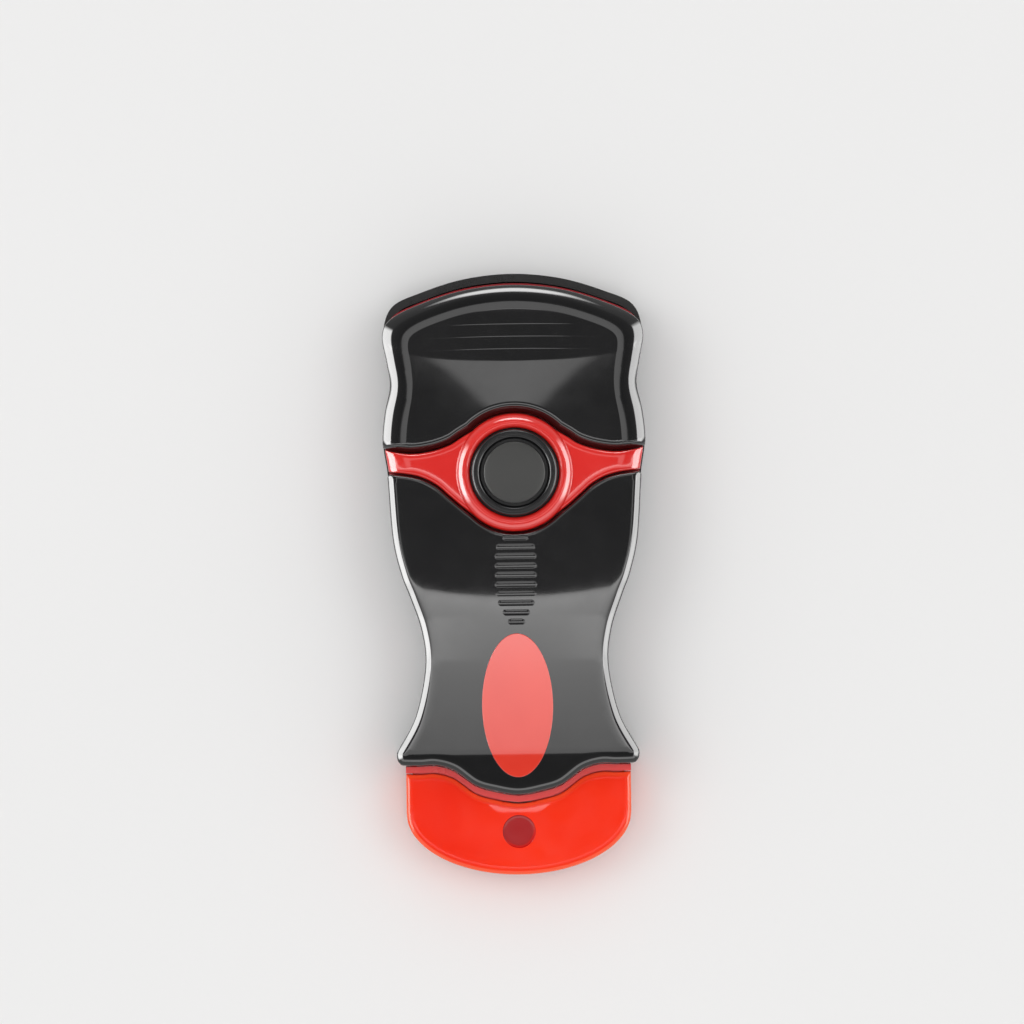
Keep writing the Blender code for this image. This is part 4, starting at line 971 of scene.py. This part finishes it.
def make_button():
    inner = BUTTON_RADIUS - BUTTON_WALL
    under = DISH_Z - BUTTON_SKIN
    flange_low = FLANGE_TOP_Z - BUTTON_SKIN
    profile = ([(0, STEM_LOW_Z), (STEM_RADIUS - STEM_BEVEL, STEM_LOW_Z), (STEM_RADIUS, STEM_LOW_Z + STEM_BEVEL),
                (STEM_RADIUS, under), (inner, under), (inner, flange_low), (FLANGE_RADIUS, flange_low),
                (FLANGE_RADIUS, FLANGE_TOP_Z), (BUTTON_RADIUS, FLANGE_TOP_Z)]
               + arc_points((BUTTON_RADIUS - RIM_ROUND, BUTTON_Z - RIM_ROUND), RIM_ROUND, 0, 90, 7)
               + arc_points((RIM_INSIDE, BUTTON_Z - RIM_INSIDE_ROUND), RIM_INSIDE_ROUND, 90, 165, 6)
               + [(radius, DISH_Z + rise) for radius, rise in DISH_EDGE])
    cap = lathe("button_gloss", profile, 0, BUTTON_Y, 128)
    new_object("button_gloss", cap, BUTTON_BLACK, "button", "black_plastic", "button_cap")
    low = DISH_Z + FIT
    side = low + DISC_SIDE
    profile = ([(0, low), (DISC_RADIUS, low), (DISC_RADIUS, side)]
               + arc_points((DISC_RADIUS - DISC_ROUND, side), DISC_ROUND, 0, 80, 4)
               + [(radius, low + rise) for radius, rise in DISC_DOME])
    insert = lathe("button_disc", profile, 0, BUTTON_Y, 96)
    new_object("button_disc", insert, MATT_BLACK, "button", "matt_black", "button_insert")


# Blade cap

CAP_HALF = 21.0
CAP_HALF_HEIGHT = 4.0
CAP_WALL = 1.2
CAP_DROP = 0.1
CAP_ROUND = 11.65
CAP_TURN_SHARES = (0, 0.2, 0.4, 0.58, 0.74, 0.88, 1)
CAP_SPACING = 0.4
CAP_RINGS = (0.05, 0.12, 0.25, 0.45, 0.7, 1.0, 1.5, 2.2)
COLLAR_WIDTH = 1.2
# Width of the painted glow along the cap's outline
PAINTED_GLOW_WIDTH = 0.9

# The patch just below the lip's middle, whose edge bends up beyond its flat middle part
PATCH_Y = -44.45
PATCH_FLAT = 3.0
PATCH_HALF = 6.2
PATCH_BEND = 0.2
PATCH_LENGTH = 2.2
PATCH_END = 0.4
PATCH_SLOPE = 0.045
PATCH_GRID = (6.9, -45.0, -42.8, 0.2, 0.12)

# The dimple, whose profile gives radii and heights above its floor, and the crescent of painted shade at its far
# side
DIMPLE_Y = CAP_END_Y + 8.1
DIMPLE_RADIUS = 3.1
DIMPLE_DEPTH = 0.6
DIMPLE_PROFILE = ((0, 0), (1.5, 0), (2.5, 0), (2.68, 0), (2.95, 0.02), (3.06, 0.12))
SHADE_CRESCENT = (2.6, 0.25)


def cap_loop(shrink, mouth_shift):
    half = CAP_HALF - shrink
    depth = CAP_ROUND - shrink
    centre_y = CAP_END_Y + CAP_ROUND
    turns = np.array(CAP_TURN_SHARES) * math.pi / 2
    points = np.column_stack((half * np.sin(turns), centre_y - depth * np.cos(turns)))
    right = smooth_curve(points, STEPS, (-points[1][0], points[1][1]))
    lip = lip_curve(half, mouth_shift)
    ys = np.arange(centre_y + CAP_SPACING, lip[0][1] - CAP_SPACING / 2, CAP_SPACING)
    straight = np.array([(half, y) for y in ys])
    return np.vstack((mirrored(straight), mirrored(right[1:]), right, straight, lip))


def make_cap():
    low = HOLDER_MID_Z - CAP_HALF_HEIGHT
    high = HOLDER_MID_Z + CAP_HALF_HEIGHT
    mouth = GAP + COLLAR_WIDTH + GAP
    loop = without_doubles(cap_loop(0, mouth))

    def patch_depth(points):
        x, y = points.T
        bend = PATCH_BEND * np.clip(np.abs(x) - PATCH_FLAT, 0, PATCH_HALF - PATCH_FLAT) ** 2
        return np.clip(y - PATCH_Y - bend, 0, PATCH_LENGTH)

    def patch_ends(points):
        return np.clip((PATCH_HALF - np.abs(points[:, 0])) / PATCH_END, 0, 1)

    def upper_height(points):
        """Flat, with a shallow slope over the patch."""
        slope = PATCH_SLOPE * patch_depth(points) * patch_ends(points)
        return high - CAP_DROP - np.interp(distance(loop, points), *CAP_FALL) + slope

    def lower_height(points):
        return high - np.interp(distance(loop, points), *CAP_FALL)

    upper = domed("cap_upper", loop, HOLDER_MID_Z, upper_height, CAP_RINGS, 1.0, fine_grid(*PATCH_GRID))
    lower = domed("cap_lower", loop, HOLDER_MID_Z, lower_height, CAP_RINGS, 2.6, None, True)
    bm = opened(upper, lower)
    level = HOLDER_MID_Z * MM
    seam = [f for f in bm.faces if all(abs(v.co.z - level) < 1e-7 for v in f.verts)]
    bmesh.ops.delete(bm, geom=seam, context="FACES")
    bmesh.ops.remove_doubles(bm, verts=bm.verts, dist=WELD)
    bmesh.ops.recalc_face_normals(bm, faces=bm.faces)
    mesh = closed_mesh("blade_cap_clear", bm)
    hollow = domed("cap_hollow", cap_loop(CAP_WALL, mouth - 2 * OVERRUN), low + CAP_WALL,
                   lambda p: np.full(len(p), high - CAP_WALL), (), 50.0)
    floor_z = high - DIMPLE_DEPTH
    profile = ([(radius, floor_z + rise) for radius, rise in DIMPLE_PROFILE]
               + [(DIMPLE_RADIUS, high + 0.02), (DIMPLE_RADIUS, high + OVERRUN), (0, high + OVERRUN)])
    mesh = combined(mesh, [hollow, lathe("dish", profile, 0, DIMPLE_Y, 72)])
    points = np.array([v.co for v in mesh.vertices]) / MM
    plan = points[:, :2]
    z = points[:, 2]
    near = np.hypot(plan[:, 0], plan[:, 1] - DIMPLE_Y)
    # Masks of painted shade in the dimple: its floor, and a deeper crescent at its far side where its inner wall
    # would lie in shade
    dished = (near < DIMPLE_RADIUS - 0.01) & (z > floor_z - 0.3) & (z < high - 0.12)
    far_side = (plan[:, 0] * 0.55 - (plan[:, 1] - DIMPLE_Y)) / np.maximum(near, 0.1)
    shade_crescent = dished * np.clip((near - SHADE_CRESCENT[0]) / SHADE_CRESCENT[1], 0, 1) * np.clip(far_side * 1.4, 0, 1)
    patch = (z > high - 2 * CAP_DROP) * np.clip(patch_depth(plan) / 0.3, 0, 1) * patch_ends(plan)
    # Mask of the painted glow, strongest at the outline and fading inwards
    rim = np.clip(1 - distance(loop, plan) / PAINTED_GLOW_WIDTH, 0, 1)
    values = {"rim": rim, "dimple_shade": dished * (1 - shade_crescent), "shade_crescent": shade_crescent, "patch": patch}
    for name, value in values.items():
        attribute = mesh.attributes.new(name, "FLOAT", "POINT")
        attribute.data.foreach_set("value", value.astype(np.float32))
    new_object("blade_cap_clear", mesh, ORANGE, "cap", "orange_plastic", "blade_cap")


# Blade holder with its lock leaf, and the button's spring

COLLAR_BACK_Y = -34.9
COLLAR_SHIFT = 0.4
TOOTH_YS = (12.15, 14.35)
STROKE = 12.0
NOTCH_HALF = 3.3
NOTCH_ZS = (3.9, 5.45)
HOLDER_SHARP = 15
LEAF_BEND_YS = (21.4, 35.8)
LEAF_CUTS = 19


def make_holder():
    """The holder's own shape; its front moves with the lip, and a second notch locks it when it is out."""
    holder = smooth_copy("blade_holder", HOLDER_RED, "red_plastic", HOLDER_SHARP)
    for vert in holder.data.vertices:
        if vert.co.y < COLLAR_BACK_Y * MM:
            vert.co.y -= COLLAR_SHIFT * MM
    notch = box_mesh("notch", (-NOTCH_HALF, NOTCH_HALF), [y + STROKE for y in TOOTH_YS], NOTCH_ZS)
    holder.data = combined(holder.data, [notch])
    holder.data.set_sharp_from_angle(angle=math.radians(HOLDER_SHARP))
    holder.data.materials.append(HOLDER_RED)


def make_leaf():
    """The leaf's own shape, left off the bodies, with cuts across the stretch where its nose bends down under the
    button.
    """
    leaf = smooth_copy("lock_leaf", SPRING_STEEL, "spring_steel", 50, False)
    bm = opened(leaf.data)
    for y in np.linspace(*LEAF_BEND_YS, LEAF_CUTS):
        bmesh.ops.bisect_plane(bm, geom=bm.verts[:] + bm.edges[:] + bm.faces[:], plane_co=(0, y * MM, 0),
                               plane_no=(0, 1, 0))
    bm.to_mesh(leaf.data)
    bm.free()
    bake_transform(leaf)


def make_spring():
    spring = smooth_copy("button_spring", SPRING_STEEL, "spring_steel", 60)
    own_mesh(spring)


make_grip_cover()
make_nose_cover()
make_inlay()
make_frame()
make_button()
make_cap()
make_shell()
make_case_screws()
make_holder()
make_leaf()
make_spring()
for node in ("leaf_screw", "clamp_screw_1", "clamp_screw_2"):
    smooth_copy(node, SCREW_STEEL, "screw_steel")
for node, material in (("blade_clamp", SPRING_STEEL), ("blade", BLADE_STEEL), ("blade_spine", BLADE_STEEL)):
    materials = frame["nodes"][node].data.materials
    materials.clear()
    materials.append(material)


# Floor, world, lamps and camera

# Half width and level of the floor, and the lamps' distance, in metres
STAGE_HALF = 4.0
STAGE_Z = -0.00004
LAMP_DISTANCE = 2.0

# Strengths that matt surfaces and the camera see
TENT = 0.9
BACKDROP = 0.84

# What glossy surfaces mirror. A direction is given by u and v, its runs to the right and to the grip end
# for each step up, by r, which is both together, or by turn and lift in degrees. A panel has limits, as
# low, high and softness, and a level.
GRADIENT = ((0.15, 0.1, 0.1, 0.4), (0, 0.2, 0.4, 1.2), (0, 0.25, 1.2, 4.0))
SLOPE_PANEL = ((-0.3, -0.083, 0.006), (-1.6, 1.6, 0.3))
SLOPE_LEVELS = (1.0, 3.0, -0.172, -0.108)
CENTRE_PANEL = ((0.068, 0.19, 0.008), (0, 9, 0.005), 1.3)
CENTRE_FLARE = 0.27
BAND_PANEL = ((0.2, 0.345, 0.01), (-0.06, 9, 0.02), 0.95)
FRONT_PANEL = ((1.1, 3.3, 0.1), (-99, -0.3, 0.1), 1.3)
SIDE_PANELS = ((-118, -63, 6, 9.0), (58, 118, 6, 6.0))
SIDE_LIFTS = (10, 43, 3)
OVAL_PANEL = (26, 22, 7.5, 8.0)

# The picture's width in pixels, a pixel's width in the plane where the scale holds, and the camera over it
PIXELS = 1024
PIXEL_SIZE = 0.186
FOCUS_Z = 13.0
CAMERA_PLACE = (-0.55, 11.6)
CAMERA_TURN = -0.78


def make_floor():
    mesh = bpy.data.meshes.new("floor")
    corners = ((-1, -1), (1, -1), (1, 1), (-1, 1))
    mesh.from_pydata([(x * STAGE_HALF, y * STAGE_HALF, STAGE_Z) for x, y in corners], [], [(0, 1, 2, 3)])
    floor = placed("floor", mesh)
    mat, tree, shader, coords = start_material("floor_white")
    drift = spread(tree, noise(tree, coords, 3), 0, 1)
    fill(tree, shader, {"Base Color": mixed(tree, drift, (0.8, 0.8, 0.8), (0.82, 0.82, 0.82)),
                        "Roughness": 0.9, "Specular IOR Level": 0.1})
    mesh.materials.append(mat)


def joined(tree, operation, *values):
    """A math node over sockets and numbers."""
    node = filled(tree, "Math", dict(enumerate(values)))
    node.operation = operation
    return node.outputs[0]


def chained(tree, operation, *values):
    """One operation over sockets and numbers, from left to right."""
    total = values[0]
    for value in values[1:]:
        total = joined(tree, operation, total, value)
    return total


def within(tree, value, low, high, soft):
    """1 between two limits and 0 beyond them, with soft edges."""
    rising = spread(tree, value, 0, 1, low - soft, low + soft)
    falling = spread(tree, value, 1, 0, high - soft, high + soft)
    return joined(tree, "MULTIPLY", rising, falling)


def side_panel(tree, turn, lift, first, last, soft, level):
    """A tall panel with soft edges, between two directions round the object."""
    wide = within(tree, turn, math.radians(first), math.radians(last), math.radians(soft))
    tall = within(tree, lift, *(math.radians(limit) for limit in SIDE_LIFTS))
    return chained(tree, "MULTIPLY", wide, tall, level)


def oval_panel(tree, turn, lift, height, half_turn, half_lift, level):
    across = joined(tree, "DIVIDE", turn, math.radians(half_turn))
    up = joined(tree, "DIVIDE", joined(tree, "SUBTRACT", lift, math.radians(height)), math.radians(half_lift))
    away = joined(tree, "ADD", joined(tree, "MULTIPLY", across, across), joined(tree, "MULTIPLY", up, up))
    return spread(tree, away, level, 0, 0.35, 1.1)


def make_world():
    """An even tent for matt surfaces; for glossy ones, panels that they mirror."""
    world = bpy.data.worlds.new("studio")
    bpy.context.scene.world = world
    world.use_nodes = True
    tree = world.node_tree
    tree.nodes.clear()
    coords = tree.nodes.new("ShaderNodeTexCoord")
    split = filled(tree, "SeparateXYZ", {"Vector": coords.outputs["Generated"]})
    up = joined(tree, "MAXIMUM", split.outputs["Z"], 0.02)
    u = joined(tree, "DIVIDE", split.outputs["X"], up)
    v = joined(tree, "DIVIDE", split.outputs["Y"], up)
    turn = joined(tree, "ARCTAN2", split.outputs["X"], split.outputs["Y"])
    lift = joined(tree, "ARCSINE", split.outputs["Z"])
    r = joined(tree, "SQRT", joined(tree, "ADD", joined(tree, "MULTIPLY", u, u), joined(tree, "MULTIPLY", v, v)))
    flare = joined(tree, "SUBTRACT", joined(tree, "MULTIPLY", v, CENTRE_FLARE), joined(tree, "ABSOLUTE", u))
    parts = [spread(tree, r, *limits) for limits in GRADIENT]
    slope_level = spread(tree, v, *SLOPE_LEVELS)
    panels = ((v, u, (*SLOPE_PANEL, slope_level)), (v, flare, CENTRE_PANEL),
              (r, v, BAND_PANEL), (r, v, FRONT_PANEL))
    for first, second, (first_limits, second_limits, level) in panels:
        parts.append(chained(tree, "MULTIPLY", within(tree, first, *first_limits),
                             within(tree, second, *second_limits), level))
    parts += [side_panel(tree, turn, lift, *panel) for panel in SIDE_PANELS]
    parts.append(oval_panel(tree, turn, lift, *OVAL_PANEL))
    total = chained(tree, "ADD", *parts)
    path = tree.nodes.new("ShaderNodeLightPath")
    tent, studio, backdrop = (filled(tree, "Background", {"Color": (1.0, 0.995, 0.99, 1), "Strength": strength})
                              .outputs["Background"] for strength in (TENT, total, BACKDROP))
    for ray, light in (("Is Glossy Ray", studio), ("Is Camera Ray", backdrop)):
        tent = filled(tree, "MixShader", {"Fac": path.outputs[ray], 1: tent, 2: light}).outputs["Shader"]
    filled(tree, "OutputWorld", {"Surface": tent})


def softbox(name, azimuth, elevation, width, height, radiance):
    """A rectangular lamp of a given radiance that faces the object and isn't mirrored in it."""
    lamp = bpy.data.lights.new(name, "AREA")
    lamp.shape = "RECTANGLE"
    lamp.size = width
    lamp.size_y = height
    lamp.energy = radiance * math.pi * width * height
    obj = placed(name, lamp)
    a = math.radians(azimuth)
    e = math.radians(elevation)
    way = Vector((math.sin(a) * math.cos(e), math.cos(a) * math.cos(e), math.sin(e)))
    obj.location = way * LAMP_DISTANCE
    obj.rotation_mode = "QUATERNION"
    obj.rotation_quaternion = way.to_track_quat("Z", "Y")
    obj.visible_glossy = False


def make_camera():
    data = bpy.data.cameras.new("camera")
    data.lens = 200.0
    data.sensor_width = 36.0
    data.clip_start = 0.01
    data.clip_end = 20.0
    camera = placed("camera", data)
    height = data.lens / data.sensor_width * PIXELS * PIXEL_SIZE + FOCUS_Z
    camera.location = [place * MM for place in (*CAMERA_PLACE, height)]
    camera.rotation_euler = (0, 0, math.radians(CAMERA_TURN))
    bpy.context.scene.camera = camera


make_floor()
make_world()
softbox("left_key", -70, 48, 1.1, 0.9, 1.6)
softbox("right_key", 80, 52, 1.1, 0.9, 1.2)
make_camera()

bpy.context.scene.view_settings.view_transform = "Standard"
